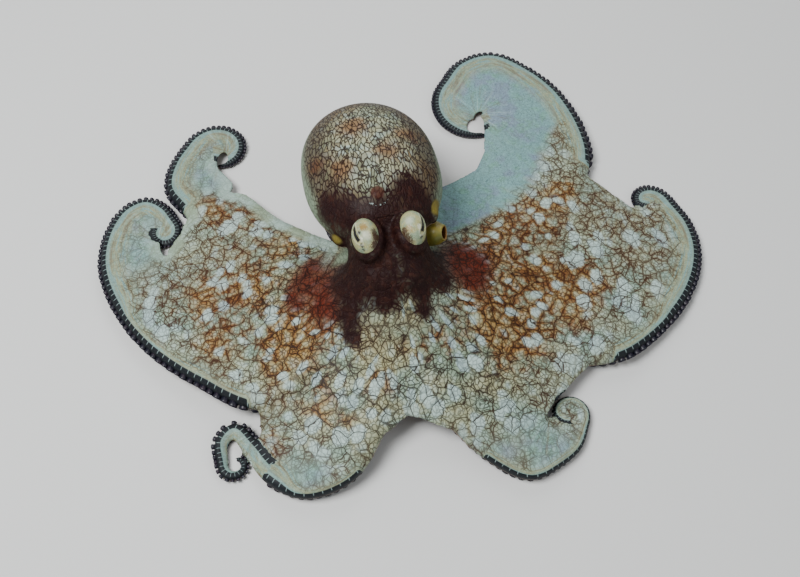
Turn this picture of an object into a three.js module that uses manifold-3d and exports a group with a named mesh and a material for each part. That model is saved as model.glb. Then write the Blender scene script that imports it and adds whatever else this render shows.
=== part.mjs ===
// A reef octopus, life size, resting with its arms and web spread, front to -Y and left side to +X.
// Millimetres, +Z up, floor at z = 0. Plan places are measured from the mouth's axis.
import * as THREE from 'three';
import * as BufferGeometryUtils from 'three/addons/utils/BufferGeometryUtils.js';
import Module from 'manifold-3d';

const wasm = await Module();
wasm.setup();

// driving dimensions
const mouthPlace = [-13, -41];
const gap = 0.3;
const crownRadius = 27;
const crownHeight = 58;
const marginHeight = 12;
const slopeReach = 62;
const slopePower = 1.4;
const rearSteepness = 1.5;
const mantleLength = 121;
const mantleWidth = 84;
const mantleDepth = 62;
const mantlePitch = 0.22;
const mantleStart = 14;
const mantleRise = 64;
const mantleBluntness = 2.4;
const mantleBelly = 0.8;
const eyeSize = [15.6, 22, 21];
const eyeSpread = 13;
const eyePlace = [12, 77];
const eyeTurn = 0.1;
const turret = { size: [19, 27, 24], inward: 2, drop: 5 };
const funnelWidth = 12;
const funnelWall = 1.6;
const funnelFlare = [1.1, 0.92];
const funnelKnots = [[22, 30, 40], [29, 26, 45], [36, 25, 52]];
const skinColour = 0xa88b6a;
const paleColour = 0xb9c4a8;
const eyeColour = 0xdadcc4;
const funnelColour = 0x9a8a35;

// an arm's section: its half widths and depth, then shares of them at the sole, waist, shoulder
// and back; its underside comes down to the floor over the grounded share of its length
const armHalfWidth = 9.5;
const tipHalfWidth = 1.2;
const armTaper = 0.75;
const armDepthRatio = 1.75;
const ridgeRise = 0.8;
const grounded = [0.3, 0.5];
const armProfile = { sole: 0.6, innerSole: 0.55, waist: 0.3, shoulder: 0.82, back: 0.5 };
const ringSpacings = [15, 13, 9.5];
const tipRings = { spacing: 4, count: 15 };

// the blade on an arm's inner side: its root beside the arm, its hem, the fold between them, and
// how it gathers towards the point that the arm curls round
const blade = { root: 1.08, rootHem: 0.7, widening: 25, foldAcross: 0.45, foldDown: 0.3 };
const hemHeight = 9;
const hemShare = 0.35;
const pinchRun = 35;
const pinchShare = 0.93;
const pinchRoom = 2;

// the webs between the arms
const webThickness = 3;
const webSag = 1.5;
const webDrop = 2.2;
const sagRun = [0.15, 0.6];
const webCells = 6;
const wall = { clearance: 1.5 * gap, low: -10, high: 120, before: -4 };

// Each arm: bearing of its root from the front, knots to where its curl starts, the curl's length,
// turn in degrees and tightening, the cuts between its four lengths, and how far its blade
// reaches inward at stations along it.
const arms = {
  right_1: {
    side: -1, bearing: 22, curl: [27, 265, 1.1], cuts: [70, 140, 165], reach: [[0, 0]],
    knots: [[-20, -56], [-31, -80], [-47, -95], [-70, -98], [-86, -87], [-96, -69], [-104, -57],
      [-112, -62], [-113, -76]],
  },
  right_2: {
    side: -1, bearing: 67, curl: [34, -230, 1.2], cuts: [100, 190, 262],
    reach: [[190, 34], [270, 34], [300, 18], [325, 6], [335, 0]], pinch: [-139, 80],
    knots: [[-55, -30], [-83, -42], [-116, -20], [-140, 3], [-156, 26], [-167, 52], [-170, 72],
      [-166, 93], [-157, 108],
      [-145, 113], [-135, 107], [-128, 95]],
  },
  right_3: {
    side: -1, bearing: 112, curl: [70, -260, 1.25], cuts: [66, 130, 189],
    reach: [[130, 32], [205, 32], [235, 12], [259, 0]], pinch: [-89, 144],
    knots: [[-53, 30], [-79, 48], [-99, 70], [-115, 102], [-124, 120], [-120, 139], [-111, 154]],
  },
  right_4: {
    side: -1, bearing: 155, curl: [85, -330, 1.15], cuts: [45, 84, 118], reach: [[0, 0]],
    knots: [[-17, 50], [-24, 80], [-27, 106]],
  },
  left_1: {
    side: 1, bearing: 22, curl: [40, 290, 1.2], cuts: [60, 113, 148],
    reach: [[113, 14], [130, 23], [150, 23], [170, 10], [188, 0]], pinch: [76, -84],
    knots: [[15, -58], [27, -84], [44, -103], [57, -112], [71, -109], [85, -102], [94, -90]],
  },
  left_2: {
    side: 1, bearing: 67, curl: [38, 220, 1.5], cuts: [107, 216, 244],
    reach: [[216, 34], [250, 30], [268, 10], [282, 0]], pinch: [171, 50],
    knots: [[56, -29], [92, -46], [123, -50], [152, -38], [178, -18], [194, 6], [198, 28], [194, 49]],
  },
  left_3: {
    side: 1, bearing: 112, curl: [58, 125, 1.1], cuts: [90, 166, 262],
    reach: [[166, 64], [188, 57], [320, 57], [345, 16], [362, 3]], pinch: [87, 143],
    knots: [[57, 22], [93, 40], [124, 62], [143, 88], [147, 114], [142, 148], [130, 172], [109, 193],
      [87, 191], [71, 176]],
  },
  left_4: {
    side: 1, bearing: 155, curl: [78, 330, 1.15], cuts: [32, 58, 88], reach: [[0, 0]],
    knots: [[17, 48], [23, 64]],
  },
};

// Each web: the two arms it joins, how far along each it reaches, points that its hem passes,
// and the share of its length that it leaves out at the root.
const webs = [
  ['right_1', 'left_1', 72, 76, [[-1, -79]], 0.02],
  ['right_1', 'right_2', 140, 72, [[-88, -60]], 0.02],
  ['right_2', 'right_3', 190, 130, [[-133, 57]], 0.02],
  ['right_3', 'right_4', 130, 14, [[-87, 112], [-79, 98], [-68, 81], [-48, 59]], 0.02],
  ['right_4', 'left_4', 48, 46, [[0, 56]], 0.3],
  ['left_3', 'left_4', 166, 30, [[84, 112], [67, 96], [50, 87]], 0.02],
  ['left_2', 'left_3', 216, 142, [[162, 46], [151, 66]], 0.02],
  ['left_1', 'left_2', 104, 104, [[80, -78], [98, -69]], 0.02],
];

const skin = new THREE.MeshStandardMaterial({ color: skinColour, roughness: 0.55, metalness: 0 });
const paleSkin = new THREE.MeshStandardMaterial({ color: paleColour, roughness: 0.5, metalness: 0 });
const eyeMaterial = new THREE.MeshStandardMaterial({ color: eyeColour, roughness: 0.2, metalness: 0 });
const funnelMaterial = new THREE.MeshStandardMaterial({
  color: funnelColour, roughness: 0.45, metalness: 0,
});

const lerp = THREE.MathUtils.lerp;
const smoothstep = THREE.MathUtils.smoothstep;

// value of a broken line of [station, value] pairs
function along(pairs, s) {
  if (s <= pairs[0][0]) return pairs[0][1];
  for (let i = 1; i < pairs.length; i += 1) {
    const [s0, v0] = pairs[i - 1];
    const [s1, v1] = pairs[i];
    if (s <= s1) return lerp(v0, v1, (s - s0) / (s1 - s0));
  }
  return pairs.at(-1)[1];
}

// height of the back's skin over a plan place: a low tent round the crown
function dorsalHeight(x, y) {
  const distance = Math.hypot(x, y > 0 ? rearSteepness * y : y);
  const fall = Math.exp(-Math.pow(distance / slopeReach, slopePower));
  return marginHeight + (crownHeight - marginHeight) * fall;
}

// closed skin over rings of equal point counts, with a fan at each end
function skinRings(rings) {
  const count = rings[0].length;
  const vertices = rings.flat(2);
  const index = [];
  for (let i = 0; i + 1 < rings.length; i += 1) {
    for (let j = 0; j < count; j += 1) {
      const a = i * count + j;
      const b = i * count + ((j + 1) % count);
      index.push(a, b, a + count, b, b + count, a + count);
    }
  }
  const last = (rings.length - 1) * count;
  for (const [ring, base, flip] of [[rings[0], 0, false], [rings.at(-1), last, true]]) {
    const centre = vertices.length / 3;
    for (const axis of [0, 1, 2]) {
      vertices.push(ring.reduce((sum, point) => sum + point[axis], 0) / count);
    }
    for (let j = 0; j < count; j += 1) {
      const next = base + ((j + 1) % count);
      if (flip) index.push(centre, base + j, next);
      else index.push(centre, next, base + j);
    }
  }
  return solidFrom(vertices, index);
}

function solidFrom(vertices, index) {
  let volume = 0;
  for (let i = 0; i < index.length; i += 3) {
    const [a, b, c] = [index[i], index[i + 1], index[i + 2]].map(
      (k) => new THREE.Vector3().fromArray(vertices, 3 * k));
    volume += a.dot(b.cross(c));
  }
  if (volume < 0) {
    for (let i = 0; i < index.length; i += 3) {
      [index[i + 1], index[i + 2]] = [index[i + 2], index[i + 1]];
    }
  }
  const mesh = new wasm.Mesh({
    numProp: 3,
    vertProperties: new Float32Array(vertices),
    triVerts: new Uint32Array(index),
  });
  return new wasm.Manifold(mesh);
}

function solidOf(geometry) {
  const bare = geometry.clone();
  bare.deleteAttribute('normal');
  bare.deleteAttribute('uv');
  const merged = BufferGeometryUtils.mergeVertices(bare, 1e-4);
  return solidFrom(Array.from(merged.attributes.position.array), Array.from(merged.index.array));
}

function meshOf(name, solid, material) {
  const { vertProperties, triVerts } = solid.getMesh();
  const geometry = new THREE.BufferGeometry();
  geometry.setAttribute('position', new THREE.BufferAttribute(vertProperties, 3));
  geometry.setIndex(new THREE.BufferAttribute(triVerts, 1));
  geometry.computeVertexNormals();
  const mesh = new THREE.Mesh(geometry, material);
  mesh.name = name;
  return mesh;
}

// An arm's line in plan: stations a millimetre apart, each with its place and heading.
function armLine(arm) {
  const bearing = THREE.MathUtils.degToRad(arm.bearing);
  const root = [arm.side * crownRadius * Math.sin(bearing), -crownRadius * Math.cos(bearing)];
  const knots = [root, ...arm.knots].map(([x, y]) => new THREE.Vector3(x, y, 0));
  const route = new THREE.CatmullRomCurve3(knots, false, 'centripetal');
  route.arcLengthDivisions = 800;
  const routeLength = Math.round(route.getLength());
  const line = [];
  for (let s = 0; s <= routeLength; s += 1) {
    const point = route.getPointAt(s / routeLength);
    const tangent = route.getTangentAt(s / routeLength);
    line.push({ x: point.x, y: point.y, heading: Math.atan2(tangent.y, tangent.x) });
  }
  const [length, turn, tightening] = arm.curl;
  const radians = THREE.MathUtils.degToRad(turn);
  const startHeading = line.at(-1).heading;
  for (let s = 1; s <= length; s += 1) {
    const { x, y } = line.at(-1);
    const part = s / length;
    const heading = startHeading + radians * Math.pow((s - 0.5) / length, tightening);
    line.push({
      x: x + Math.cos(heading),
      y: y + Math.sin(heading),
      heading: startHeading + radians * Math.pow(part, tightening),
    });
  }
  return line;
}

const lines = Object.fromEntries(Object.entries(arms).map(([name, arm]) => [name, armLine(arm)]));

function station(name, s) {
  const line = lines[name];
  const at = Math.min(Math.max(s, 0), line.length - 1);
  const i = Math.min(Math.floor(at), line.length - 2);
  const [a, b] = [line[i], line[i + 1]];
  const part = at - i;
  const turn = Math.atan2(Math.sin(b.heading - a.heading), Math.cos(b.heading - a.heading));
  return {
    x: lerp(a.x, b.x, part),
    y: lerp(a.y, b.y, part),
    heading: a.heading + part * turn,
    part: at / (line.length - 1),
  };
}

// Half width, depth, underside and top of an arm at a station.
function armShape(name, s) {
  const place = station(name, s);
  const half = tipHalfWidth + armHalfWidth * Math.pow(1 - place.part, armTaper);
  const depth = half * armDepthRatio;
  const raised = Math.max(0, dorsalHeight(place.x, place.y) + ridgeRise - depth);
  const low = lerp(raised, 0, smoothstep(place.part, ...grounded));
  return { ...place, half, depth, low, high: low + depth };
}

// An arm's shape at a station with the direction and extent of its inner side in plan. On the
// outer lengths the web's blade runs inward from the arm, towards the point that it curls round.
function armSpread(name, s, bladed) {
  const arm = arms[name];
  const shape = armShape(name, s);
  const across = new THREE.Vector2(-Math.sin(shape.heading), Math.cos(shape.heading));
  across.multiplyScalar(arm.side);
  let inner = bladed ? shape.half * blade.root : shape.half;
  if (bladed && arm.pinch) {
    const towards = new THREE.Vector2(arm.pinch[0] - shape.x, arm.pinch[1] - shape.y);
    const turned = smoothstep(s, arm.cuts[1], arm.cuts[1] + pinchRun);
    const room = lerp(pinchRoom, pinchShare, turned) * towards.length();
    across.lerp(towards.normalize(), turned).normalize();
    inner = Math.max(inner, Math.min(along(arm.reach, s), room));
  }
  return { ...shape, across, inner };
}

// One cross-section of an arm: a flat-bottomed bar whose outer edge carries the suckers.
function armSection(name, s, bladed, grow) {
  const { x, y, across, inner, half, depth, low, high } = armSpread(name, s, bladed);
  const widened = smoothstep(inner, half, blade.widening);
  const hemHigh = lerp(low + blade.rootHem * depth, Math.min(high - 1, hemHeight), widened);
  const hemLow = hemHigh - Math.min(webThickness, hemShare * depth);
  const waist = low + armProfile.waist * depth;
  const shoulder = low + armProfile.shoulder * depth;
  const innerSide = bladed
    ? [[half, waist], [inner, hemLow], [inner, hemHigh],
      [lerp(half, inner, blade.foldAcross), lerp(high, hemHigh, blade.foldDown)]]
    : [[half, waist], [half, shoulder]];
  const profile = [
    [-armProfile.sole * half, low], [armProfile.innerSole * half, low], ...innerSide,
    [armProfile.back * half, high], [-armProfile.back * half, high],
    [-half, shoulder], [-half, waist],
  ].map(([q, z]) => new THREE.Vector2(q, z));
  return profile.map((point, i) => {
    const before = profile.at(i - 1).clone().sub(point).normalize();
    const after = profile[(i + 1) % profile.length].clone().sub(point).normalize();
    const outward = after.sub(before).rotateAround(new THREE.Vector2(), -Math.PI / 2).normalize();
    const q = point.x + grow * outward.x;
    return [x + across.x * q, y + across.y * q, point.y + grow * outward.y];
  });
}

// The ring stations of each of an arm's four lengths.
function lengthStations(name) {
  const { cuts } = arms[name];
  const ends = [0, ...cuts, lines[name].length - 1];
  const tipSpacing = Math.max(tipRings.spacing, (ends[4] - ends[3]) / tipRings.count);
  const spacings = [...ringSpacings, tipSpacing];
  return spacings.map((spacing, i) => {
    const from = ends[i] + (i > 0 ? gap : 0);
    const count = Math.max(2, Math.round((ends[i + 1] - from) / spacing));
    return Array.from({ length: count + 1 }, (_, k) => lerp(from, ends[i + 1], k / count));
  });
}

// A tall wall round some of an arm's lengths, which parts the webs from it.
function armWall(name, stations, bladed) {
  return skinRings(stations.map((s) => {
    const { x, y, across, inner, half } = armSpread(name, s, bladed);
    const [outside, inside] = [-half - wall.clearance, inner + wall.clearance];
    return [[outside, wall.low], [inside, wall.low], [inside, wall.high], [outside, wall.high]].map(
      ([q, z]) => [x + q * across.x, y + q * across.y, z]);
  }));
}

function armSolid(name, stations, bladed, grow = 0) {
  return skinRings(stations.map((s) => armSection(name, s, bladed, grow)));
}

// Upright body of stacked ellipses: [height, centre y, half width, half length] for each ring.
function stackedSolid(levels, sides, grow) {
  const rings = levels.map(([z, y, halfX, halfY], i) => {
    const lift = i === 0 ? -grow : i === levels.length - 1 ? grow : 0;
    return Array.from({ length: sides }, (_, k) => {
      const angle = (2 * Math.PI * k) / sides;
      return [(halfX + grow) * Math.cos(angle), y + (halfY + grow) * Math.sin(angle), z + lift];
    });
  });
  return skinRings(rings);
}

function ellipsoid(size, grow, wide = 12, tall = 8) {
  const geometry = new THREE.SphereGeometry(0.5, wide, tall);
  geometry.rotateX(Math.PI / 2);
  geometry.scale(size[0] + 2 * grow, size[1] + 2 * grow, size[2] + 2 * grow);
  return geometry;
}

// the head's rings: height, centre y, half width and half length
const headLevels = [
  [20, -2, 17, 17], [27, -2, 25, 25], [38, -2, 28, 29], [48, 1, 28, 31], [57, 6, 26, 28],
  [65, 11, 23, 23], [71, 14, 17, 18], [74.5, 15, 8, 10],
];

function eyeSolid(side, grow) {
  const geometry = ellipsoid(eyeSize, grow);
  geometry.rotateZ(-side * eyeTurn);
  geometry.translate(side * eyeSpread, eyePlace[0], eyePlace[1]);
  return solidOf(geometry);
}

function headSolid(grow) {
  let solid = stackedSolid(headLevels, 16, grow);
  for (const side of [-1, 1]) {
    const mound = ellipsoid(turret.size, grow, 10, 7);
    mound.translate(side * (eyeSpread - turret.inward), eyePlace[0], eyePlace[1] - turret.drop);
    solid = solid.add(solidOf(mound));
  }
  return solid;
}

// The mantle: a bulb along +Y that hangs down a little towards its end.
function mantleSolid(grow) {
  const rings = [];
  const count = 10;
  const sides = 18;
  const [nearEnd, farEnd] = [0.03, 0.995];
  for (let i = 0; i <= count; i += 1) {
    const t = lerp(nearEnd, farEnd, i / count);
    const swell = Math.sqrt(1 - Math.pow(Math.abs(2 * t - 1), mantleBluntness));
    const halfX = (mantleWidth / 2) * swell;
    const halfZ = (mantleDepth / 2) * swell;
    const y = mantleStart + mantleLength * t;
    const z = mantleRise - mantlePitch * mantleLength * t;
    rings.push(Array.from({ length: sides }, (_, k) => {
      const angle = (2 * Math.PI * k) / sides;
      const flatten = Math.sin(angle) < 0 ? mantleBelly : 1;
      return [(halfX + grow) * Math.cos(angle), y, z + (halfZ * flatten + grow) * Math.sin(angle)];
    }));
  }
  return skinRings(rings);
}

// The funnel: a short open tube that leaves the mantle's opening on the left and turns up.
function funnelSolid() {
  const route = new THREE.CatmullRomCurve3(funnelKnots.map((knot) => new THREE.Vector3(...knot)));
  const frames = 5;
  const sides = 10;
  const boreFrom = 2;
  const outer = [];
  const bore = [];
  for (let i = 0; i <= frames; i += 1) {
    const t = i / frames;
    const centre = route.getPoint(t);
    const tangent = route.getTangent(t);
    const flat = new THREE.Vector3(-tangent.y, tangent.x, 0).normalize();
    const up = tangent.clone().cross(flat);
    const half = (funnelWidth / 2) * lerp(...funnelFlare, t);
    const ring = (radius, shift) => Array.from({ length: sides }, (_, k) => {
      const angle = (2 * Math.PI * k) / sides;
      return centre.clone().addScaledVector(tangent, shift)
        .addScaledVector(flat, radius * Math.cos(angle))
        .addScaledVector(up, radius * Math.sin(angle)).toArray();
    });
    outer.push(ring(half, 0));
    if (i >= boreFrom) bore.push(ring(half - funnelWall, i === frames ? 1 : 0));
  }
  return skinRings(outer).subtract(skinRings(bore));
}

// The rolled edge of the mantle's opening, one on each side of the head.
function lipSolid({ size, place, turn }) {
  const geometry = ellipsoid(size, 0, 10, 7);
  geometry.rotateZ(THREE.MathUtils.degToRad(turn));
  geometry.translate(...place);
  return solidOf(geometry);
}

const lips = {
  mantle_lip_right: { size: [8, 15, 9], place: [-27, 34, 46], turn: 40 },
  mantle_lip_left: { size: [7, 17, 9], place: [34, 41, 49], turn: -12 },
};

// A web: a thin sheet between two arms' lines, out to its hem, a little below their ridges.
function webSolid([first, second, reachFirst, reachSecond, hem, start]) {
  const steps = webCells;
  const sides = webCells;
  const endA = station(first, reachFirst);
  const endB = station(second, reachSecond);
  const hemKnots = [[endA.x, endA.y], ...hem, [endB.x, endB.y]].map(
    ([x, y]) => new THREE.Vector3(x, y, 0));
  const hemCurve = new THREE.CatmullRomCurve3(hemKnots, false, 'centripetal');
  const hemLine = hemCurve.getSpacedPoints(sides);
  const top = [];
  for (let i = 0; i <= steps; i += 1) {
    const v = lerp(start, 1, i / steps);
    const a = armShape(first, v * reachFirst);
    const b = armShape(second, v * reachSecond);
    for (let j = 0; j <= sides; j += 1) {
      const u = j / sides;
      const x = lerp(a.x, b.x, u) + v * v * (hemLine[j].x - lerp(endA.x, endB.x, u));
      const y = lerp(a.y, b.y, u) + v * v * (hemLine[j].y - lerp(endA.y, endB.y, u));
      const rise = dorsalHeight(x, y) - lerp(dorsalHeight(a.x, a.y), dorsalHeight(b.x, b.y), u);
      const sag = webSag * Math.sin(Math.PI * u) * smoothstep(v, ...sagRun);
      top.push([x, y, lerp(a.high, b.high, u) - webDrop + rise - sag]);
    }
  }
  const low = top.map(([x, y, z]) => [x, y, z - webThickness]);
  const vertices = [...top, ...low].flat();
  const index = [];
  const row = sides + 1;
  const half = top.length;
  const quad = (a, b, c, d) => index.push(a, b, c, a, c, d);
  for (let i = 0; i < steps; i += 1) {
    for (let j = 0; j < sides; j += 1) {
      const a = i * row + j;
      quad(a, a + 1, a + 1 + row, a + row);
      quad(half + a, half + a + row, half + a + 1 + row, half + a + 1);
    }
  }
  for (let j = 0; j < sides; j += 1) {
    const last = steps * row + j;
    quad(j, j + half, j + 1 + half, j + 1);
    quad(last, last + 1, last + 1 + half, last + half);
  }
  for (let i = 0; i < steps; i += 1) {
    const left = i * row;
    const right = left + sides;
    quad(left, left + row, left + row + half, left + half);
    quad(right, right + half, right + row + half, right + row);
  }
  return solidFrom(vertices, index);
}

const octopus = new THREE.Group();
octopus.name = 'octopus';
octopus.position.set(mouthPlace[0], mouthPlace[1], 0);

const eyeClearances = [-1, 1].map((side) => eyeSolid(side, gap));
const head = eyeClearances.reduce((solid, eye) => solid.subtract(eye), headSolid(0));
const headClearance = headSolid(gap);
const mantle = mantleSolid(0).subtract(headClearance);
const mantleClearance = mantleSolid(gap);
octopus.add(meshOf('head', head, skin));
octopus.add(meshOf('mantle', mantle, skin));
octopus.add(meshOf('eye_right', eyeSolid(-1, 0), eyeMaterial));
octopus.add(meshOf('eye_left', eyeSolid(1, 0), eyeMaterial));
const funnel = funnelSolid().subtract(headClearance).subtract(mantleClearance);
octopus.add(meshOf('funnel', funnel, funnelMaterial));
for (const [name, lip] of Object.entries(lips)) {
  const solid = lipSolid(lip).subtract(headClearance).subtract(mantleClearance);
  octopus.add(meshOf(name, solid, funnelMaterial));
}

const armClearances = {};
const armWalls = {};
for (const name of Object.keys(arms)) {
  const lengths = lengthStations(name);
  ['base', 'middle', 'blade', 'tip'].forEach((label, i) => {
    const bladed = i > 1;
    let solid = armSolid(name, lengths[i], bladed);
    if (i === 0) {
      solid = solid.subtract(headClearance).subtract(mantleClearance);
    }
    octopus.add(meshOf(`arm_${name}_${label}`, solid, skin));
  });
  const inside = lengths.slice(0, 2).flat();
  const outside = [lengths[2][0] - gap, ...lengths.slice(2).flat()];
  armClearances[name] = [armSolid(name, inside, false, gap), armSolid(name, outside, true, gap)];
  armWalls[name] = [armWall(name, [wall.before, ...inside], false), armWall(name, outside, true)];
}

for (const web of webs) {
  let solid = webSolid(web).subtract(headClearance).subtract(mantleClearance);
  for (const name of Object.keys(arms)) {
    const cutters = web.includes(name) ? armWalls[name] : armClearances[name];
    for (const cutter of cutters) {
      solid = solid.subtract(cutter);
    }
  }
  octopus.add(meshOf(`web_${web[0]}_${web[1]}`, solid, paleSkin));
}

export default octopus;
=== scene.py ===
import math
import bmesh
import bpy
import numpy as np
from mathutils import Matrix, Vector, kdtree


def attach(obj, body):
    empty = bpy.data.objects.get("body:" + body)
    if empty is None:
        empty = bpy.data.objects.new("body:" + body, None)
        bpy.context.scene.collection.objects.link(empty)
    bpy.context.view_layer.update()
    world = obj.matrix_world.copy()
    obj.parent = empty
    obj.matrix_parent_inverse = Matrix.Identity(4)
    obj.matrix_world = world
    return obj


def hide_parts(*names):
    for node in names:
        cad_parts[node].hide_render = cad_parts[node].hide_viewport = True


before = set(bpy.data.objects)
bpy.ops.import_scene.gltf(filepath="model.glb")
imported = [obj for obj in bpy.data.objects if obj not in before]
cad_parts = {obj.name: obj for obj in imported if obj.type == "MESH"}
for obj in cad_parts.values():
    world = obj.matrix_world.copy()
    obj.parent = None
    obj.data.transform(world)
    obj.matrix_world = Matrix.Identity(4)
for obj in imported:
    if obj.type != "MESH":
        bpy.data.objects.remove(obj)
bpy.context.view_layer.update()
print("frame loaded")

mm = 0.001
mouth = (-13, -41)  # plan place of the mouth's axis, in mm; arms and webs are laid out from it
rng = np.random.default_rng(7)


def deselectAll():
    if bpy.context.object and bpy.context.object.mode != "OBJECT":
        bpy.ops.object.mode_set(mode="OBJECT")
    bpy.ops.object.select_all(action="DESELECT")


def makeActive(piece):
    deselectAll()
    piece.select_set(True)
    bpy.context.view_layer.objects.active = piece


def applyModifier(piece, kind, **settings):
    makeActive(piece)
    modifier = piece.modifiers.new(kind.title(), kind)
    for key, value in settings.items():
        setattr(modifier, key, value)
    bpy.ops.object.modifier_apply(modifier=modifier.name)


def meshPiece(name, points, faces):  # points in mm
    mesh = bpy.data.meshes.new(name)
    mesh.from_pydata((np.asarray(points, float) * mm).tolist(), [], faces)
    piece = bpy.data.objects.new(name, mesh)
    bpy.context.scene.collection.objects.link(piece)
    return piece


def joinPieces(name, pieces):
    deselectAll()
    for piece in pieces:
        piece.select_set(True)
    bpy.context.view_layer.objects.active = pieces[0]
    bpy.ops.object.join()
    joined = bpy.context.object
    joined.name = name
    joined.data.name = name
    return joined


def applyPlace(piece):
    makeActive(piece)
    bpy.ops.object.transform_apply(location=True, rotation=True, scale=True)


def smoothShade(piece):
    makeActive(piece)
    bpy.ops.object.shade_smooth()


def pointsOf(piece):
    flat = np.empty(len(piece.data.vertices) * 3)
    piece.data.vertices.foreach_get("co", flat)
    return flat.reshape(-1, 3) / mm


def setPoints(piece, points):
    piece.data.vertices.foreach_set("co", (points * mm).ravel())
    piece.data.update()


def normalsOf(piece):
    flat = np.empty(len(piece.data.vertices) * 3, np.float32)
    piece.data.vertex_normals.foreach_get("vector", flat)
    return flat.reshape(-1, 3).astype(float)


def edgesOf(piece):
    flat = np.empty(len(piece.data.edges) * 2, np.int32)
    piece.data.edges.foreach_get("vertices", flat)
    return flat.reshape(-1, 2)


def ramp(value, low, high):  # smooth step from 0 at low to 1 at high
    t = np.clip((value - low) / (high - low), 0, 1)
    return t * t * (3 - 2 * t)


def mixed(a, b, t):
    return a + (b - a) * t


def settled(values, edges, weight, rounds):  # values relaxed over the mesh's edges where weight allows
    count = len(values)
    valence = np.maximum(np.bincount(edges.ravel(), minlength=count), 1)
    for _ in range(rounds):
        around = np.bincount(edges[:, 0], values[edges[:, 1]], count)
        around += np.bincount(edges[:, 1], values[edges[:, 0]], count)
        values = values + weight * (around / valence - values)
    return values


def nearestIn(places, points):  # index and distance of the place nearest to each point, in plan or in space
    tree = kdtree.KDTree(len(places))
    for i, place in enumerate(places):
        tree.insert((*place, 0)[:3], i)
    tree.balance()
    found = [tree.find((*point, 0)[:3]) for point in points]
    return np.array([hit[1] for hit in found]), np.array([hit[2] for hit in found])


def edgesAmong(edges, chosen):  # the points that the chosen edges join, and those edges numbered among them
    used, among = np.unique(edges[chosen], return_inverse=True)
    return used, among.reshape(-1, 2)


def valueAt(values, at):  # between the entries of a list
    return np.interp(at, np.arange(len(values)), values)


def turns(count):
    return np.linspace(0, 2 * math.pi, count, endpoint=False)


def addField(piece, name, values):
    field = piece.data.attributes.new(name, "FLOAT", "POINT")
    field.data.foreach_set("value", np.asarray(values, np.float32))


# the body's low tent shape and its arms, in mm
body = {"crownRadius": 27, "crownHeight": 58, "marginHeight": 12, "slopeReach": 62, "slopePower": 1.4,
        "rearSteepness": 1.5, "ridgeRise": 0.8, "armHalf": 9.5, "tipHalf": 1.2, "taper": 0.75,
        "depthRatio": 1.75, "comesDown": (0.3, 0.5)}  # where along its length an arm comes down to the floor
# the broad inner side of an arm, which is drawn in towards the place that the arm curls round
blade = {"hemHeight": 9, "thickness": 2.8, "pinchRun": 35, "pinchShare": 0.93, "rootShare": 2.0, "leadIn": 8,
         "step": 1.5, "points": 9, "leastShare": 0.5, "fullFrom": 25, "rootHeight": 0.7, "topPower": 0.8}
# each arm: the side and bearing of its root, its curl (length, turn, tightening), the knots of its route,
# and where its blade starts, how far it reaches and the place that it is drawn in to
arms = {
    "right_1": {"side": -1, "bearing": 22, "curl": (27, 265, 1.1),
                "knots": [(-20, -56), (-31, -80), (-47, -95), (-70, -98), (-86, -87), (-96, -69),
                          (-104, -57), (-112, -62), (-113, -76)]},
    "right_2": {"side": -1, "bearing": 67, "curl": (34, -230, 1.2), "start": 190, "pinch": (-139, 80),
                "reach": [(190, 34), (270, 34), (300, 18), (325, 6), (335, 0)],
                "knots": [(-55, -30), (-83, -42), (-116, -20), (-140, 3), (-156, 26), (-167, 52),
                          (-170, 72), (-166, 93), (-157, 108), (-145, 113), (-135, 107), (-128, 95)]},
    "right_3": {"side": -1, "bearing": 112, "curl": (70, -260, 1.25), "start": 130, "pinch": (-89, 144),
                "reach": [(130, 32), (205, 32), (235, 12), (259, 0)],
                "knots": [(-53, 30), (-79, 48), (-99, 70), (-115, 102), (-124, 120), (-120, 139),
                          (-111, 154)]},
    "right_4": {"side": -1, "bearing": 155, "curl": (85, -330, 1.15),
                "knots": [(-17, 50), (-24, 80), (-27, 106)]},
    "left_1": {"side": 1, "bearing": 22, "curl": (40, 290, 1.2), "start": 113, "pinch": (76, -84),
               "reach": [(113, 14), (130, 23), (150, 23), (170, 10), (188, 0)],
               "knots": [(15, -58), (27, -84), (44, -103), (57, -112), (71, -109), (85, -102), (94, -90)]},
    "left_2": {"side": 1, "bearing": 67, "curl": (38, 220, 1.5), "start": 216, "pinch": (171, 50),
               "reach": [(216, 34), (250, 30), (268, 10), (282, 0)],
               "knots": [(56, -29), (92, -46), (123, -50), (152, -38), (178, -18), (194, 6), (198, 28),
                         (194, 49)]},
    "left_3": {"side": 1, "bearing": 112, "curl": (67, 145, 1.1), "start": 166, "pinch": (87, 143),
               "reach": [(166, 64), (188, 57), (320, 57), (345, 16), (362, 3)],
               "knots": [(57, 22), (93, 40), (124, 62), (143, 88), (147, 114), (142, 148), (130, 172),
                         (109, 193), (87, 191), (71, 176)]},
    "left_4": {"side": 1, "bearing": 155, "curl": (78, 330, 1.15), "knots": [(17, 48), (23, 64)]},
}
# each web: its two arms, how far along each it reaches, places its hem passes, share left out at the root
webs = [
    ("right_1", "left_1", 72, 76, [(-26, -91), (-13, -83), (-3, -76), (8, -83), (22, -94)], 0.02),
    ("right_1", "right_2", 140, 72, [(-88, -60)], 0.02),
    ("right_2", "right_3", 190, 130, [(-133, 57)], 0.02),
    ("right_3", "right_4", 130, 14, [(-95, 106), (-86, 104), (-78, 94), (-67, 79), (-48, 59)], 0.02),
    ("right_4", "left_4", 48, 46, [(0, 56)], 0.3),
    ("left_3", "left_4", 166, 30, [(89, 121), (87, 107), (80, 94), (67, 84), (48, 79)], 0.02),
    ("left_2", "left_3", 216, 142, [(162, 46), (151, 66)], 0.02),
    ("left_1", "left_2", 104, 104, [(80, -78), (98, -69)], 0.02),
]
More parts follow.
